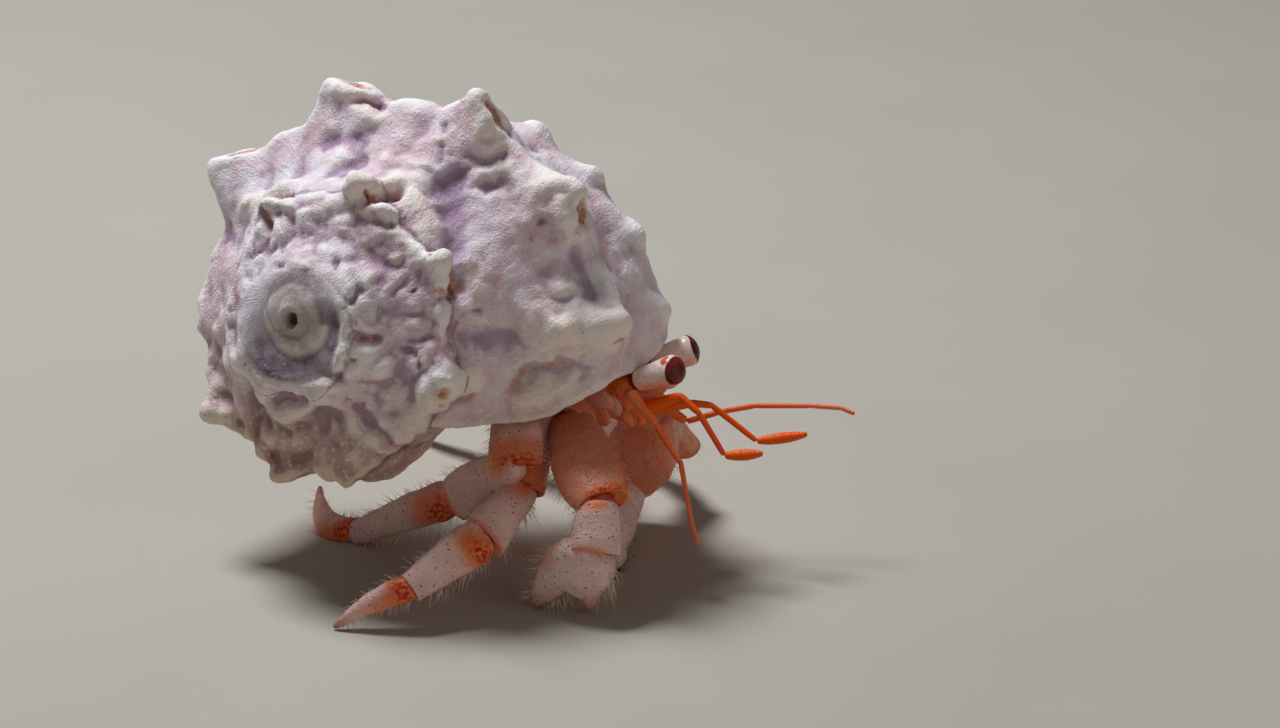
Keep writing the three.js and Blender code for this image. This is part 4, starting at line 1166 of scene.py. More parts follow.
# %% Tubes
def add_tube(shape, sides, rows, places, values=None):
    """Adds a tube to a bmesh, given a place for each row and column, and values for its vertices."""
    carried = {}
    for name in values or {}:
        carried[name] = shape.verts.layers.float.get(name) or shape.verts.layers.float.new(name)
    made = bmesh.ops.create_grid(shape, x_segments=sides, y_segments=rows - 1, size=0.5)["verts"]
    flat = np.array([vertex.co for vertex in made])
    column = np.rint((flat[:, 0] + 0.5) * sides).astype(int) % sides
    row = np.rint((flat[:, 1] + 0.5) * (rows - 1)).astype(int)
    index = row * sides + column
    for vertex, place in zip(made, places[index]):
        vertex.co = place
    for name, layer in carried.items():
        for vertex, number in zip(made, values[name][index]):
            vertex[layer] = number
    kept = [vertex for vertex, at in zip(made, row) if 0 < at < rows - 1]
    for end in (0, rows - 1):
        ring = [vertex for vertex, at in zip(made, row) if at == end]
        centre = sum((vertex.co for vertex in ring), Vector()) / len(ring)
        bmesh.ops.pointmerge(shape, verts=ring, merge_co=centre)
    bmesh.ops.remove_doubles(shape, verts=kept, dist=1e-4)


def grid_shares(sides, rows):
    """Row number and share of the way round, for every row and column in turn."""
    return np.repeat(np.arange(rows), sides), np.tile(np.arange(sides) / sides, rows)


trial = bmesh.new()
row, around = grid_shares(12, 4)
turns = 2 * math.pi * around
add_tube(trial, 12, 4, np.stack([np.cos(turns), np.sin(turns), row], -1))
print("a trial tube of 4 rows and 12 sides has", len(trial.faces), "faces")
trial.free()

# %% [markdown]
# ## Stains and joints
# Where two pieces meet the skin is orange, and grained with ember red right at the joint. Each stain is
# a soft oval in the piece's own coordinates, kept on the vertices, so that the colours sit on the limb
# and not in space. The joint itself is a soft pad that fills the socket.

# %% Stains
# Kind, place along, place across from -1 below to 1 above, reach along and across, ember or wash.
STAINS = [
    ("merus", 1.0, 0.1, 0.07, 1.2, "ember"),
    ("merus", 0.85, 0.0, 0.4, 2.0, "wash"),
    ("carpus", 0.1, 0.3, 0.28, 0.9, "wash"),
    ("carpus", 1.02, 0.0, 0.08, 2.0, "wash"),
    ("propodus", 0.13, -0.45, 0.17, 0.9, "ember"),
    ("propodus", 0.2, -0.1, 0.24, 1.2, "wash"),
    ("dactyl", 0.08, -0.1, 0.17, 1.3, "ember"),
    ("dactyl", 0.2, -0.5, 0.5, 0.9, "wash"),
    ("arm", 1.0, 0.3, 0.05, 0.9, "ember"),
    ("arm", 0.7, 1.0, 0.5, 0.45, "wash"),
    ("arm", 0.6, -1.0, 0.6, 0.4, "wash"),
    ("arm", 0.7, 1.0, 0.45, 0.12, "ember"),
    ("arm", 0.0, 0.0, 0.75, 2.0, "wash"),
    ("wrist", 0.0, 0.3, 0.25, 0.9, "wash"),
    ("wrist", 1.0, 0.4, 0.1, 1.0, "wash"),
    ("palm", 0.85, 1.0, 0.4, 0.35, "wash"),
    ("finger", 0.12, 0.0, 0.16, 0.8, "ember"),
]
# How orange a whole piece is.
WARMTH = {
    "coxa": 0.8, "merus": 0.5, "carpus": 0.3, "propodus": 0.26, "dactyl": 0.36,
    "ischium": 0.9, "arm": 0.8, "finger": 0.6, "wrist": 0.1, "palm": 0.1, "thumb": 0.1,
}


def stain_values(segment, t, around):
    values = {"ember": np.zeros_like(t), "wash": np.full_like(t, WARMTH[segment.kind])}
    across = np.cos(2 * math.pi * around)
    for kind, at, side, reach, breadth, name in STAINS:
        if kind == segment.kind:
            distance = ((t - at) / reach) ** 2 + ((across - side) / breadth) ** 2
            values[name] = np.maximum(values[name], np.exp(-distance))
    values["tip"] = smoothstep(t, 0.72, 1.0) if segment.tipped else np.zeros_like(t)
    values["edge"] = np.abs(across) ** 6
    values["soft"] = np.zeros_like(t)
    return values


print(len(STAINS), "stains")

# %% Hard pieces and soft joints
LIMB_SIDES = 40
BODY_ROWS = 26
FLOOR_CLEARANCE = 0.02
DENT_HEIGHT = 0.14
DENT_SIZE = 1.6


def uneven(places, normals, height, size):
    """Slight dents and swellings, as every hard skin has."""
    push = np.array([noise.noise(Vector(place) / size) for place in places]) * height
    return places + push[:, None] * normals


def add_segment(shape, segment):
    body = [(t, 1.0) for t in np.linspace(0.03, 0.96, BODY_ROWS)]
    profile = np.array(ROUND_START + body + (TIP_END if segment.tipped else SOCKET_END))
    row, around = grid_shares(LIMB_SIDES, len(profile))
    t, share = profile[row, 0], profile[row, 1]
    places, normals = segment.surface(t, around, share)
    places = uneven(places, normals, DENT_HEIGHT, DENT_SIZE)
    places[:, 2] = np.maximum(places[:, 2], FLOOR_CLEARANCE)
    add_tube(shape, LIMB_SIDES, len(profile), places, stain_values(segment, t, around))


# A joint's pad: half sizes as shares of the narrower piece, half length and setback in millimetres.
PAD_WIDTH = 0.4
PAD_THICKNESS = 0.34
PAD_HALF_LENGTH = 0.9
PAD_SETBACK = 0.25


def add_membrane(shape, before, after):
    """The soft skin of a joint, a pad that fills the socket between two hard pieces."""
    width = PAD_WIDTH * min(before.size[1] * 0.92, after.size[1] * 0.86)
    thickness = PAD_THICKNESS * min(before.size[2], after.size[2])
    way = Vector(before.along + after.along).normalized()
    across = Vector(before.across)
    through = way.cross(across).normalized()
    turn = Matrix((across, through, way)).transposed().to_4x4()
    scale = Matrix.Diagonal((width, thickness, PAD_HALF_LENGTH, 1))
    where = Matrix.Translation(Vector(after.start - PAD_SETBACK * before.along)) @ turn @ scale
    made = bmesh.ops.create_icosphere(shape, subdivisions=4, radius=1.0, matrix=where)["verts"]
    soft = shape.verts.layers.float["soft"]
    for vertex in made:
        vertex[soft] = 1.0
        vertex.co.z = max(vertex.co.z, FLOOR_CLEARANCE)


trial = bmesh.new()
add_segment(trial, limbs["leg2_r"][1])
print("a merus has", len(trial.faces), "faces")
trial.free()


# %% Legs and claws as whole pieces
CLAW_VOXEL = 0.14
CLAW_ROUNDS = 14


def melted(shape, voxel, rounds):
    """One smooth skin over a bmesh's tubes; each vertex takes the values of the nearest old one."""
    places = np.array([vertex.co for vertex in shape.verts])
    layers = shape.verts.layers.float.items()
    values = np.array([[vertex[layer] for _, layer in layers] for vertex in shape.verts])
    names = [name for name, _ in layers]
    mesh = remeshed(shape, voxel)
    targets, pairs = vertex_places(mesh), mesh_edges(mesh)
    rows = nearest_rows(places, targets)
    move_vertices(mesh, averaged(targets, pairs, rounds))
    for name, column in zip(names, averaged(values[rows], pairs, rounds).T):
        give_attribute(mesh, name, column)
    return mesh


def hard_pieces(segments):
    shape = bmesh.new()
    for segment in segments:
        add_segment(shape, segment)
    return shape


def claw_piece(name, segments, look, stands_for):
    """Palm and both fingers, melted into one form."""
    mesh = melted(hard_pieces(segments), CLAW_VOXEL, CLAW_ROUNDS)
    return finish_mesh(mesh, name, look, stands_for)


def jointed_piece(name, segments, look, stands_for):
    """Hard pieces in a row, with a soft pad in each joint between them."""
    shape = hard_pieces(segments)
    for before, after in zip(segments, segments[1:]):
        add_membrane(shape, before, after)
    return finish_piece(shape, name, look, stands_for)


print("legs of", len(limbs["leg2_r"]), "pieces, claws of", len(limbs["cheliped_r"]) - 3)


# %% [markdown]
# ## The finish of the hard skin
# Pinkish white with a lavender cast, washed with orange at the joints, with ember-red grained patches
# where a piece meets the next, and dark dots, each the socket of a bristle.

# %% Plate finish
def plate_look():
    constants = {"Specular_IOR_Level": 0.45, "Subsurface_Weight": 0.12, "Subsurface_Scale": 0.0012}
    look = Finish("plates", Roughness=0.42, **constants)
    place = look.place
    wash, ember = look.attribute("wash"), look.attribute("ember")
    broad, middle, fine = place.clouds(3.0), place.clouds(0.9, 4.0), place.clouds(0.25, 2.0)
    colour = broad.ramp(0.35, 0.65).tint(paint(236, 202, 190), paint(222, 184, 178))
    colour = (middle.ramp(0.5, 0.75) * 0.7).tint(colour, paint(244, 220, 210))
    stain = (wash + (middle - 0.5) * 0.5).ramp(0.1, 1.05)
    colour = (stain * 0.92).tint(colour, paint(230, 118, 62))
    grains = place.cells(0.42)
    heat = grains.ramp(0.3, 0.75).tint(paint(206, 30, 12), paint(248, 112, 44))
    glow = (ember * 1.5 + (middle - 0.5) * 1.2).ramp(0.15, 0.8)
    colour = (glow * 0.85).tint(colour, paint(228, 116, 50))
    burn = (ember + (middle - 0.5) * 0.9 + (fine - 0.5) * 0.4).ramp(0.42, 0.95)
    colour = (burn * 0.95).tint(colour, heat)
    edge = (look.attribute("edge") * fine).ramp(0.35, 0.6)
    colour = (edge * 0.6).tint(colour, paint(214, 150, 104))
    dots = 1.0 - place.cells(0.72, randomness=0.85).ramp(0.1, 0.17)
    colour = (dots * (1.0 - burn) * (1.0 - stain.ramp(0.35, 0.5)) * 0.85).tint(colour, paint(84, 62, 78))
    colour = (look.attribute("tip") * 0.8).tint(colour, paint(176, 108, 66))
    soft = look.attribute("soft")
    colour = soft.tint(colour, middle.ramp(0.35, 0.65).tint(paint(206, 84, 42), paint(160, 40, 20)))
    look.feed("Base Color", colour)
    bumps = 1.0 - place.cells(0.4).ramp(0.05, 0.45)
    grained = burn * (1.0 - grains.ramp(0.1, 0.7))
    look.relief(fine * 0.5 + bumps * 0.5 + grained * 1.4 + dots * -0.8, 0.14)
    look.feed("Roughness", 0.34 + middle * 0.22)
    return look


plates = plate_look()
for limb, segments in limbs.items():
    solids = [f"{limb}_{segment.kind}" for segment in segments]
    if limb.startswith("leg"):
        jointed_piece(limb + "_skin", segments, plates, solids)
    else:
        jointed_piece(limb + "_skin", segments[:3], plates, solids[:3])
        claw_piece(limb + "_claw", segments[3:], plates, [f"{limb}_palm", f"{limb}_finger"])

# %% [markdown]
# ## Rounded forms along a path
# The eyestalks, the trunk, the shield and the feelers are all long rounded forms. Each is given as a
# few stations of a middle, a half width and a half thickness. Averaging along the path takes the
# corners off, and a tube with rounded ends is rolled round it.

# %% Paths
def smooth_path(stations, rows):
    """Rows of values along a smooth curve through the stations, evenly spaced."""
    table = np.array(stations, float)
    steps = np.linalg.norm(np.diff(table[:, :3], axis=0), axis=1)
    reach = np.insert(np.cumsum(steps), 0, 0.0)
    at = np.linspace(0, reach[-1], rows)
    spread = reach[-1] / rows * 2.5
    shifts = np.linspace(-spread, spread, 7)
    path = np.stack([np.mean([np.interp(at + s, reach, c) for s in shifts], 0) for c in table.T], -1)
    path[[0, -1]] = table[[0, -1]]
    return path


def path_places(path, facing, sides, bluntness=0.8):
    """Places round a path of middle, half width and half thickness, with rounded ends."""
    face = np.array(Vector(facing).normalized())
    along = np.gradient(path[:, :3], axis=0)
    along /= np.linalg.norm(along, axis=1)[:, None]
    across = np.cross(along, face)
    across /= np.linalg.norm(across, axis=1)[:, None]
    through = np.cross(across, along)
    reach = np.insert(np.cumsum(np.linalg.norm(np.diff(path[:, :3], axis=0), axis=1)), 0, 0.0)
    from_end = np.minimum(reach, reach[-1] - reach) / (bluntness * path[:, 3])
    size = np.sqrt(np.clip(1 - (1 - np.clip(from_end, 0, 1)) ** 2, 0, 1))
    row, around = grid_shares(sides, len(path))
    turn = 2 * math.pi * around
    places = path[row, :3] + (np.cos(turn) * path[row, 3] * size[row])[:, None] * across[row]
    return places + (np.sin(turn) * path[row, 4] * size[row])[:, None] * through[row]


def add_path(shape, stations, facing, sides, rows, values=None):
    path = smooth_path(stations, rows)
    add_tube(shape, sides, rows, path_places(path, facing, sides), values)


trial_path = smooth_path([(0, 0, 0, 1, 1), (5, 0, 0, 1, 1), (5, 5, 0, 1, 1)], 30)
print("a bend at x = 5 is rounded to x =", round(float(trial_path[15, 0]), 2))

# %% [markdown]
# ## Eyes
# Each eye sits at the end of a stout stalk that flares a little. The stalk is cut obliquely, and the
# part beyond the cut becomes the dark, glossy cornea.

# %% Eye tables and finishes
# Heading and pitch of the stalk, and of the cut across it.
EYES = {
    "r": {
        "root": (24.4, -3.0, 19.8), "aim": (-14, 25), "slant": (-27, 6),
        "length": 6.3, "thickness": 2.65, "spot": 1.0,
    },
    "l": {
        "root": (24.6, 1.5, 20.1), "aim": (12, 21), "slant": (44, 14),
        "length": 5.6, "thickness": 2.9, "spot": 0.0,
    },
}
# Place along the stalk and share of its half thickness.
STALK_PROFILE = [(0, 0.76), (0.12, 0.86), (0.4, 0.96), (0.7, 1.08), (0.88, 1.14), (0.97, 1.02), (1, 0.9)]
# Marks on the near stalk: name, place along, place round and size, all as shares.
STALK_MARKS = [("spot", 0.8, 0.17, 0.085), ("pale", 0.82, 0.05, 0.05)]
STALK_SIDES = 48
STALK_ROWS = 60
CORNEA_SHARE = 0.86
CORNEA_SWELL = 1.03


def stalk_look():
    look = Finish("eyestalk", Roughness=0.3, Subsurface_Weight=0.15, Subsurface_Scale=0.001)
    along, low = look.attribute("along"), look.attribute("low")
    fine = look.place.clouds(0.6, 3.0)
    colour = fine.ramp(0.3, 0.7).tint(paint(250, 226, 216), paint(242, 206, 196))
    colour = ((low + fine * 0.5).ramp(0.65, 1.25) * 0.85).tint(colour, paint(238, 146, 92))
    ring = 1.0 - (along + fine * 0.03).ramp(0.13, 0.17)
    colour = ring.tint(colour, paint(96, 26, 28))
    colour = look.attribute("pale").ramp(0.4, 0.6).tint(colour, paint(255, 250, 246))
    colour = (look.attribute("spot") + (fine - 0.5) * 0.4).ramp(0.35, 0.6).tint(colour, paint(198, 92, 52))
    colour = along.ramp(0.9, 0.92).tint(colour, paint(80, 26, 20))
    look.feed("Base Color", colour)
    look.relief(fine, 0.05)
    return look


def cornea_look():
    look = Finish("cornea", Roughness=0.3, Specular_IOR_Level=0.3)
    fine = look.place.clouds(0.5)
    look.feed("Base Color", fine.ramp(0.35, 0.65).tint(paint(84, 22, 12), paint(132, 46, 24)))
    look.relief(look.place.cells(0.1, randomness=0.15), 0.006)
    return look


stalks, corneas = stalk_look(), cornea_look()
print("the corneas start", [round(CORNEA_SHARE * eye["length"], 1) for eye in EYES.values()], "mm out")


# %% Eyestalks and corneas
def stalk_shape(eye):
    way = direction(*eye["aim"])
    root, half = Vector(eye["root"]), eye["thickness"] / 2
    reach = way * eye["length"]
    stations = [(*(root + t * reach), share * half, share * half) for t, share in STALK_PROFILE]
    row, around = grid_shares(STALK_SIDES, STALK_ROWS)
    along = row / (STALK_ROWS - 1)
    values = {"along": along, "low": 0.5 - 0.5 * np.sin(2 * math.pi * around)}
    for name, at, turned, size in STALK_MARKS:
        distance = ((along - at) / size) ** 2 + ((around - turned) / size) ** 2
        values[name] = eye["spot"] * np.exp(-distance)
    shape = bmesh.new()
    add_path(shape, stations, (0, 0, 1), STALK_SIDES, STALK_ROWS, values)
    return shape, root + way * CORNEA_SHARE * eye["length"], direction(*eye["slant"])


def cut_off(shape, middle, normal, beyond):
    geometry = shape.verts[:] + shape.edges[:] + shape.faces[:]
    sides = {"clear_inner": beyond, "clear_outer": not beyond}
    bmesh.ops.bisect_plane(shape, geom=geometry, dist=1e-5, plane_co=middle, plane_no=normal, **sides)
    rim = [edge for edge in shape.edges if len(edge.link_faces) == 1]
    bmesh.ops.holes_fill(shape, edges=rim, sides=0)


for side, eye in EYES.items():
    stalk, middle, slant = stalk_shape(eye)
    cut_off(stalk, middle, slant, beyond=False)
    finish_piece(stalk, f"eyestalk_{side}_skin", stalks, [f"eyestalk_{side}"])
    cornea, middle, slant = stalk_shape(eye)
    cut_off(cornea, middle, slant, beyond=True)
    bmesh.ops.scale(cornea, vec=(CORNEA_SWELL,) * 3, space=Matrix.Translation(-middle), verts=cornea.verts)
    finish_piece(cornea, f"cornea_{side}_skin", corneas, [f"cornea_{side}"])

# %% [markdown]
# ## The soft body and the shield
# The trunk is a soft bag that reaches into the shell, with a swelling where each limb starts. Tube and
# swellings are melted into one skin, so that no seam shows. A hard shield lies over its front.

# %% Trunk
# Place, half width and half height.
TRUNK = [
    (-1.5, 3.2, 35.4, 2.2, 2.2), (3.5, 3, 36.4, 3.8, 3.4), (9, 3, 34.6, 4.8, 4.2),
    (13.2, 3, 31, 5.1, 4.6), (15.6, 2.2, 26.6, 5.2, 4.8), (16.8, 0.8, 22.4, 5.3, 4.6),
    (18.6, 0, 19.4, 5, 4), (21.6, -0.3, 17.8, 4.4, 3.3), (24.6, -0.3, 17.2, 3.4, 2.5),
]
TRUNK_FACING = (1, 0, 0.35)
TRUNK_ROWS = 50
TRUNK_SIDES = 40
TRUNK_VOXEL = 0.28
TRUNK_ROUNDS = 8
# Balls that swell the trunk: two along the way to each limb, and one behind each eye.
SWELLING = 2.2
SWELLING_STEPS = (-1.4, 0.2)
BROW = 1.7
BROW_OFFSET = Vector((-0.9, 0, -0.9))


def flesh_look():
    look = Finish("soft_skin", Roughness=0.38, Subsurface_Weight=0.2, Subsurface_Scale=0.0015)
    broad, fine = look.place.clouds(2.4, 4.0), look.place.clouds(0.4)
    colour = broad.ramp(0.35, 0.65).tint(paint(224, 84, 26), paint(250, 122, 48))
    colour = fine.ramp(0.5, 0.8).tint(colour, paint(240, 168, 132))
    look.feed("Base Color", colour)
    look.relief(fine + broad, 0.14)
    return look


def add_ball(shape, middle, radius):
    bmesh.ops.create_icosphere(shape, subdivisions=3, radius=radius, matrix=Matrix.Translation(middle))


def build_trunk():
    shape = bmesh.new()
    add_path(shape, TRUNK, TRUNK_FACING, TRUNK_SIDES, TRUNK_ROWS)
    for hip, _, pieces in LIMBS.values():
        toward = direction(pieces[0][2], pieces[0][3])
        for step in SWELLING_STEPS:
            add_ball(shape, Vector(hip) + toward * step, SWELLING)
    for eye in EYES.values():
        add_ball(shape, Vector(eye["root"]) + BROW_OFFSET, BROW)
    mesh = remeshed(shape, TRUNK_VOXEL)
    move_vertices(mesh, averaged(vertex_places(mesh), mesh_edges(mesh), TRUNK_ROUNDS))
    return finish_mesh(mesh, "soft_body", flesh_look(), ["trunk"])


build_trunk()

# %% Shield
SHIELD = [
    (17, 1.3, 25.6, 3.6, 0.5), (18.9, 0.7, 23.6, 4.3, 0.8), (21.2, 0.1, 21.6, 4.4, 0.9),
    (23.4, -0.3, 20.4, 3.8, 0.8), (24.9, -0.4, 19.9, 2.6, 0.5),
]
SHIELD_FACING = (0.5, 0, 1)
SHIELD_ROWS = 40
SHIELD_SIDES = 40

shield = bmesh.new()
shield_wash = {"wash": np.full(SHIELD_ROWS * SHIELD_SIDES, 0.5)}
add_path(shield, SHIELD, SHIELD_FACING, SHIELD_SIDES, SHIELD_ROWS, shield_wash)
finish_piece(shield, "shield_skin", plates, ["shield"])

# %% [markdown]
# ## Feelers
# The short feelers, the antennules, are bent like a knee and end in a club; the long ones, the
# antennae, have three stout joints and then a fine ringed whip.

# %% Feelers
# Root, then runs of length, heading, pitch, thickness at the start and at the end.
FEELERS = {
    "antennule_r": ((25.2, -1.7, 16.6), [
        ("stem", [(4.4, -8, 26, 1.5, 0.85), (2.6, -14, -33, 0.8, 0.66), (5.0, -4, -57, 0.64, 0.56)]),
        ("club", [(1.4, 3, 6, 0.7, 1.2), (1.4, 3, 8, 1.2, 1.1), (1.2, 3, 10, 1.1, 0.5)]),
    ]),
    "antennule_l": ((25.4, 0.5, 15.8), [
        ("stem", [(4.2, 5, 12, 1.5, 0.85), (2.0, 9, -4, 0.8, 0.66), (5.8, 5, -37, 0.64, 0.56)]),
        ("club", [(1.8, 5, 10, 0.7, 1.2), (1.9, 5, 12, 1.2, 1.1), (1.6, 5, 14, 1.1, 0.5)]),
    ]),
    "antenna_r": ((24.4, -4.3, 19.3), [
        ("base", [(2.6, -34, -33, 1.3, 1.0), (2.0, -24, -36, 1.0, 0.75)]),
        ("whip", [
            (3.0, -22, -48, 0.66, 0.6), (1.6, -25, -40, 0.6, 0.56), (2.3, -42, -71, 0.56, 0.52),
            (3.8, -30, -75, 0.52, 0.48), (2.5, -30, -66, 0.48, 0.42),
        ]),
    ]),
    "antenna_l": ((24.9, 2.9, 16.8), [
        ("base", [(2.4, 20, -55, 1.5, 1.2), (2.4, 8, -32, 1.2, 0.8)]),
        ("whip", [
            (3.6, 17, 17, 0.66, 0.6), (3.5, 17, 10, 0.6, 0.56), (5.8, 10, 2, 0.56, 0.5),
            (3.0, 9, -2, 0.5, 0.46), (1.5, 0, -19, 0.46, 0.42),
        ]),
    ]),
}
MAXILLIPEDS = {
    "r": ((22.6, -2.6, 16.9), [(1.7, -18, -40, 1.5, 1.2), (1.1, 40, -64, 1.1, 0.7)]),
    "l": ((22.8, 0.6, 16.3), [(1.9, 0, -44, 1.6, 1.3), (1.1, -60, -72, 1.2, 0.7)]),
}
print(len(FEELERS), "feelers and", len(MAXILLIPEDS), "palps")


# %% Feeler finishes
def feeler_look(name, near, far):
    constants = {"Specular_IOR_Level": 0.3, "Subsurface_Weight": 0.1, "Subsurface_Scale": 0.0006}
    look = Finish(name, Roughness=0.4, **constants)
    along, rings = look.attribute("along"), look.attribute("rings")
    fine = look.place.clouds(0.5, 3.0)
    colour = (along + (fine - 0.5) * 0.3).ramp(0.15, 0.85).tint(near, far)
    colour = ((1.0 - rings) * 0.25).tint(colour, paint(196, 56, 14))
    look.feed("Base Color", colour)
    look.relief(fine * 0.5 + rings, 0.04)
    return look


ORANGE, CORAL, TAN = paint(255, 92, 4), paint(252, 126, 80), paint(250, 146, 92)
antennule_finish = feeler_look("antennule", paint(255, 110, 10), ORANGE)
feeler_finishes = {
    "stem": antennule_finish,
    "club": antennule_finish,
    "whip": feeler_look("antenna", paint(248, 104, 36), CORAL),
    "base": feeler_look("antenna_base", TAN, paint(248, 116, 44)),
}
print("parts of a feeler:", ", ".join(feeler_finishes))

# %% Building feelers
RING_PITCH = 0.3
FEELER_SIDES = 20
FEELER_ROW_STEP = 0.08
FEWEST_ROWS = 30
FEELER_FACING = (0.1, -1, 0.1)
# Place along a run and share of its half thickness there.
WAISTS = ((0.0, 0.84), (0.12, 1.0), (0.5, 1.0), (0.88, 1.02), (0.97, 0.9))
END_WAIST = 0.84


def run_stations(start, runs):
    """Stations down a chain of straight runs, slightly waisted at each joint."""
    place, stations = Vector(start), []
    for length, heading, pitch, thick, thin in runs:
        way = direction(heading, pitch)
        for share, waist in WAISTS:
            half = mix(thick, thin, share) / 2 * waist
            stations.append((*(place + way * share * length), half, half))
        place = place + way * length
    half = runs[-1][4] / 2 * END_WAIST
    stations.append((*place, half, half))
    return stations, place


def add_feeler(shape, start, runs, ringed):
    stations, end = run_stations(start, runs)
    length = sum(run[0] for run in runs)
    rows = max(int(length / FEELER_ROW_STEP), FEWEST_ROWS)
    row, _ = grid_shares(FEELER_SIDES, rows)
    along = row / (rows - 1)
    rings = 0.5 + 0.5 * np.cos(2 * math.pi * along * length / RING_PITCH) if ringed else np.ones(len(row))
    path = smooth_path(stations, rows)
    if ringed:
        path[:, 3:] *= 0.97 + 0.03 * rings[::FEELER_SIDES][:, None]
    places = path_places(path, FEELER_FACING, FEELER_SIDES)
    add_tube(shape, FEELER_SIDES, rows, places, {"along": along, "rings": rings})
    return end


for name, (start, parts) in FEELERS.items():
    for part, runs in parts:
        shape = bmesh.new()
        start = add_feeler(shape, start, runs, ringed=part in ("whip", "club"))
        finish_piece(shape, f"{name}_{part}_skin", feeler_finishes[part], [f"{name}_{part}"])
for side, (start, runs) in MAXILLIPEDS.items():
    shape = bmesh.new()
    add_feeler(shape, start, runs, ringed=False)
    finish_piece(shape, f"maxilliped_{side}_skin", feeler_finishes["base"], [f"maxilliped_{side}"])

# %% [markdown]
# ## Cheek plates
# Small pale plates line the sides of the mouth, half hidden under the lip of the shell.

# %% Cheek plates
# Middle, heading and pitch of the long axis, half sizes, and how orange.
CHEEKS = [
    ((21.3, -5.1, 18.6), (-24, -6), (2.1, 0.5, 1.1), 0.68),
    ((22.7, -4.5, 17.7), (-10, -50), (1.3, 0.45, 0.95), 0.66),
    ((20.8, -4.5, 17.0), (-20, -30), (2.2, 0.7, 1.3), 1.0),
    ((23.4, -3.7, 16.5), (-16, -30), (1.2, 0.6, 0.8), 0.95),
    ((25.6, -1.6, 19.0), (-10, 14), (2.3, 1.2, 1.2), 1.0),
    ((26.4, 0.3, 19.2), (4, 10), (2.0, 1.2, 1.1), 0.95),
    ((27.7, -1.2, 19.4), (-10, 20), (1.1, 0.7, 0.6), 0.3),
    ((24.9, 1.2, 22.0), (0, 40), (1.6, 0.9, 0.9), 0.9),
]
cheeks = bmesh.new()
wash = cheeks.verts.layers.float.new("wash")
for middle, (heading, pitch), sizes, warmth in CHEEKS:
    turn = direction(heading, pitch).to_track_quat("X", "Z").to_matrix().to_4x4()
    where = Matrix.Translation(Vector(middle)) @ turn @ Matrix.Diagonal((*sizes, 1))
    made = bmesh.ops.create_icosphere(cheeks, subdivisions=4, radius=1.0, matrix=where)["verts"]
    for vertex in made:
        vertex[wash] = warmth
finish_piece(cheeks, "cheek_plates", plates)


# %% [markdown]
# ## Bristles
# Stiff hairs stand along the edges of the limbs, longest on the claw and the wrist. One thin curved
# cone is made once, and arrays of roots, directions and lengths turn it into thousands, joined into
# one mesh per limb. Each bristle's map patch lies at its root's place on the unrolled limb.

# %% Bristle tables
BRISTLE_THICKNESS = 0.07
ROOT_DEPTH = 0.08
PATCH = 0.003  # side of one bristle's square on the map
# Bristles per millimetre along an edge, and the longest, for each kind of piece.
EDGE_BRISTLES = {
    "merus": (5, 1.2), "carpus": (6, 1.5), "propodus": (6, 1.3), "dactyl": (7, 0.9),
    "arm": (4, 1.2), "wrist": (7, 1.0), "palm": (12, 1.9), "thumb": (13, 1.7), "finger": (6, 0.7),
}
FACE_BRISTLES = 2.2  # per millimetre of length
print("bristles grow on", ", ".join(EDGE_BRISTLES))


# %% One bristle, and many
def bristle_template():
    shape = bmesh.new()
    bmesh.ops.create_cone(shape, cap_ends=True, segments=3, radius1=1, radius2=0.15, depth=1)
    long_edges = [edge for edge in shape.edges if abs(edge.verts[0].co.z - edge.verts[1].co.z) > 0.5]
    bmesh.ops.subdivide_edges(shape, edges=long_edges, cuts=3)
    bmesh.ops.triangulate(shape, faces=shape.faces)
    shape.verts.index_update()
    places = np.array([vertex.co for vertex in shape.verts]) + np.array((0, 0, 0.5))
    faces = np.array([[vertex.index for vertex in face.verts] for face in shape.faces])
    shape.free()
    return places, faces


def unit(vectors):
    return vectors / np.linalg.norm(vectors, axis=1)[:, None]


def add_bristles(name, roots, ways, leans, lengths, spots, look):
    """Joins one bristle for each root into a single mesh."""
    places, faces = bristle_template()
    ways, count = unit(ways), len(roots)
    first = unit(np.cross(ways, np.array((0.31, 0.52, 0.79))))
    second = np.cross(ways, first)
    height, half = places[:, 2], BRISTLE_THICKNESS / 2
    grown = roots[:, None] + (height * lengths[:, None])[:, :, None] * ways[:, None]
    grown = grown + (height**2 * lengths[:, None])[:, :, None] * leans[:, None]
    grown = grown + half * (places[:, 0, None] * first[:, None] + places[:, 1, None] * second[:, None])
    grown[..., 2] = np.maximum(grown[..., 2], FLOOR_CLEARANCE)
    every = (faces[None] + (np.arange(count) * len(places))[:, None, None]).reshape(-1, 3)
    mesh = bpy.data.meshes.new(name)
    mesh.from_pydata(grown.reshape(-1, 3), [], every)
    corner = np.stack([np.arctan2(places[:, 1], places[:, 0]) / (2 * math.pi), height - 0.5], -1)
    chart = (spots[:, None] + PATCH * corner[None]).reshape(-1, 2)
    layer = mesh.uv_layers.new(name="OFBake")
    layer.data.foreach_set("uv", chart[every.ravel()].astype(np.float32).ravel())
    return finish_mesh(mesh, name, look)


def bristle_look():
    look = Finish("bristles", Roughness=0.45)
    straw = look.place.clouds(1.5).ramp(0.35, 0.65)
    look.feed("Base Color", straw.tint(paint(252, 238, 214), paint(216, 184, 146)))
    return look


print("one bristle has", len(bristle_template()[1]), "faces")


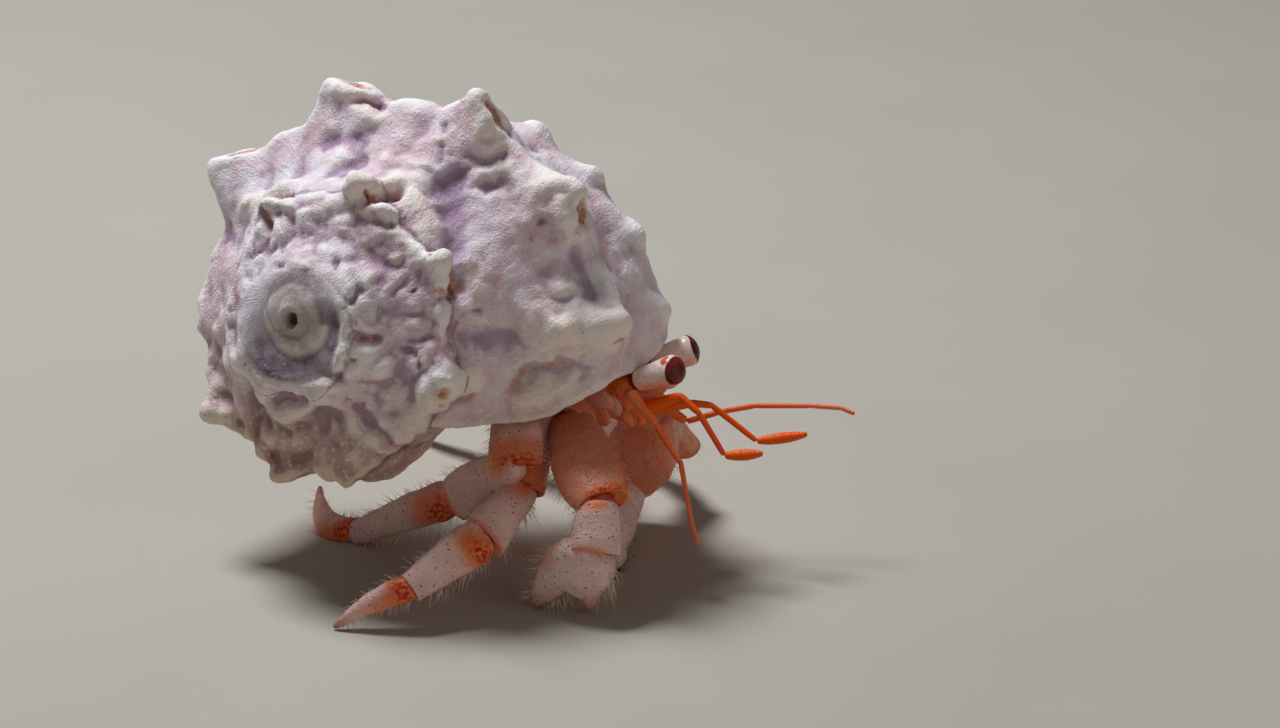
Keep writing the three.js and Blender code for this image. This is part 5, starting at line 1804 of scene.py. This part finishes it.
# %% Bristles on every limb
def limb_bristles(limb, segments, dice):
    roots, ways, leans, lengths, spots = [], [], [], [], []
    for number, segment in enumerate(segments):
        per_mm, longest = EDGE_BRISTLES.get(segment.kind, (0, 0))
        # Place round the piece, bristles per millimetre, spread, and share of the longest.
        lower, upper = (0.5, per_mm, 0.045, 1.0), (0.0, 0.6 * per_mm, 0.04, 0.7)
        face = (0.25, FACE_BRISTLES, 0.2, 0.28)
        for place, amount, spread, share in (lower, upper, face):
            count = int(amount * segment.size[0])
            if per_mm == 0 or count == 0:
                continue
            t = dice.uniform(0.04, 0.97, count)
            around = (place + dice.normal(0, spread, count)) % 1.0
            where, normal = segment.surface(t, around)
            roots.append(where - ROOT_DEPTH * normal)
            ways.append(normal + 0.45 * segment.along + dice.normal(0, 0.22, (count, 3)))
            leans.append(0.3 * segment.along + dice.normal(0, 0.12, (count, 3)))
            lengths.append(share * longest * dice.uniform(0.45, 1.5, count))
            spots.append(np.stack([0.02 + 0.96 * t, (number + 0.05 + 0.9 * around) / len(segments)], -1))
    gathered = [np.concatenate(part) for part in (roots, ways, leans, lengths)]
    return add_bristles(limb + "_bristles", *gathered, np.concatenate(spots), bristles)


bristles = bristle_look()
for number, (limb, segments) in enumerate(limbs.items()):
    limb_bristles(limb, segments, np.random.default_rng(40 + number))

# %% [markdown]
# ## The floor and the light
# A plain pale floor and soft lamps: one high up, a little behind and to the left, which models the
# shell, two weak ones in front that fill the shadows under it, and a pale sky.

# %% Floor, lamps and sky
FLOOR_WIDTH = 3.0
LIT_POINT = Vector((0, 0, 0.02))
# Place in metres, width, watts and colour.
LAMPS = {
    "key": ((-0.18, 0.09, 0.48), 0.14, 2.7, (0.90, 0.95, 1.0)),
    "front": ((-0.20, -0.42, 0.22), 0.35, 0.05, (1.0, 0.95, 0.92)),
    "fill": ((0.42, -0.22, 0.16), 0.35, 0.3, (1.0, 0.9, 0.8)),
}
SKY_COLOUR = (0.90, 0.94, 1.0)
SKY_STRENGTH = 0.09


def add_floor():
    shape = bmesh.new()
    bmesh.ops.create_grid(shape, x_segments=8, y_segments=8, size=FLOOR_WIDTH / 2)
    mesh = mesh_of(shape, "floor")
    floor = linked("floor", mesh)
    look = Finish("pale_floor", Roughness=0.85)
    look.feed("Base Color", look.place.clouds(40.0).tint(paint(186, 178, 166), paint(176, 168, 156)))
    mesh.materials.append(look.material)


def add_lamp(name, place, width, watts, colour):
    data = bpy.data.lights.new(name, "AREA")
    data.size = width
    data.energy = watts
    data.color = colour
    lamp = linked(name, data)
    lamp.location = place
    lamp.rotation_euler = (LIT_POINT - lamp.location).to_track_quat("-Z", "Y").to_euler()


def add_sky(colour, strength):
    world = bpy.data.worlds.new("sky")
    world.use_nodes = True
    background = world.node_tree.nodes["Background"]
    background.inputs["Color"].default_value = (*colour, 1.0)
    background.inputs["Strength"].default_value = strength
    bpy.context.scene.world = world


add_floor()
for name, settings in LAMPS.items():
    add_lamp(name, *settings)
add_sky(SKY_COLOUR, SKY_STRENGTH)
bpy.context.scene.view_settings.view_transform = "Standard"
print("lamps:", ", ".join(LAMPS))
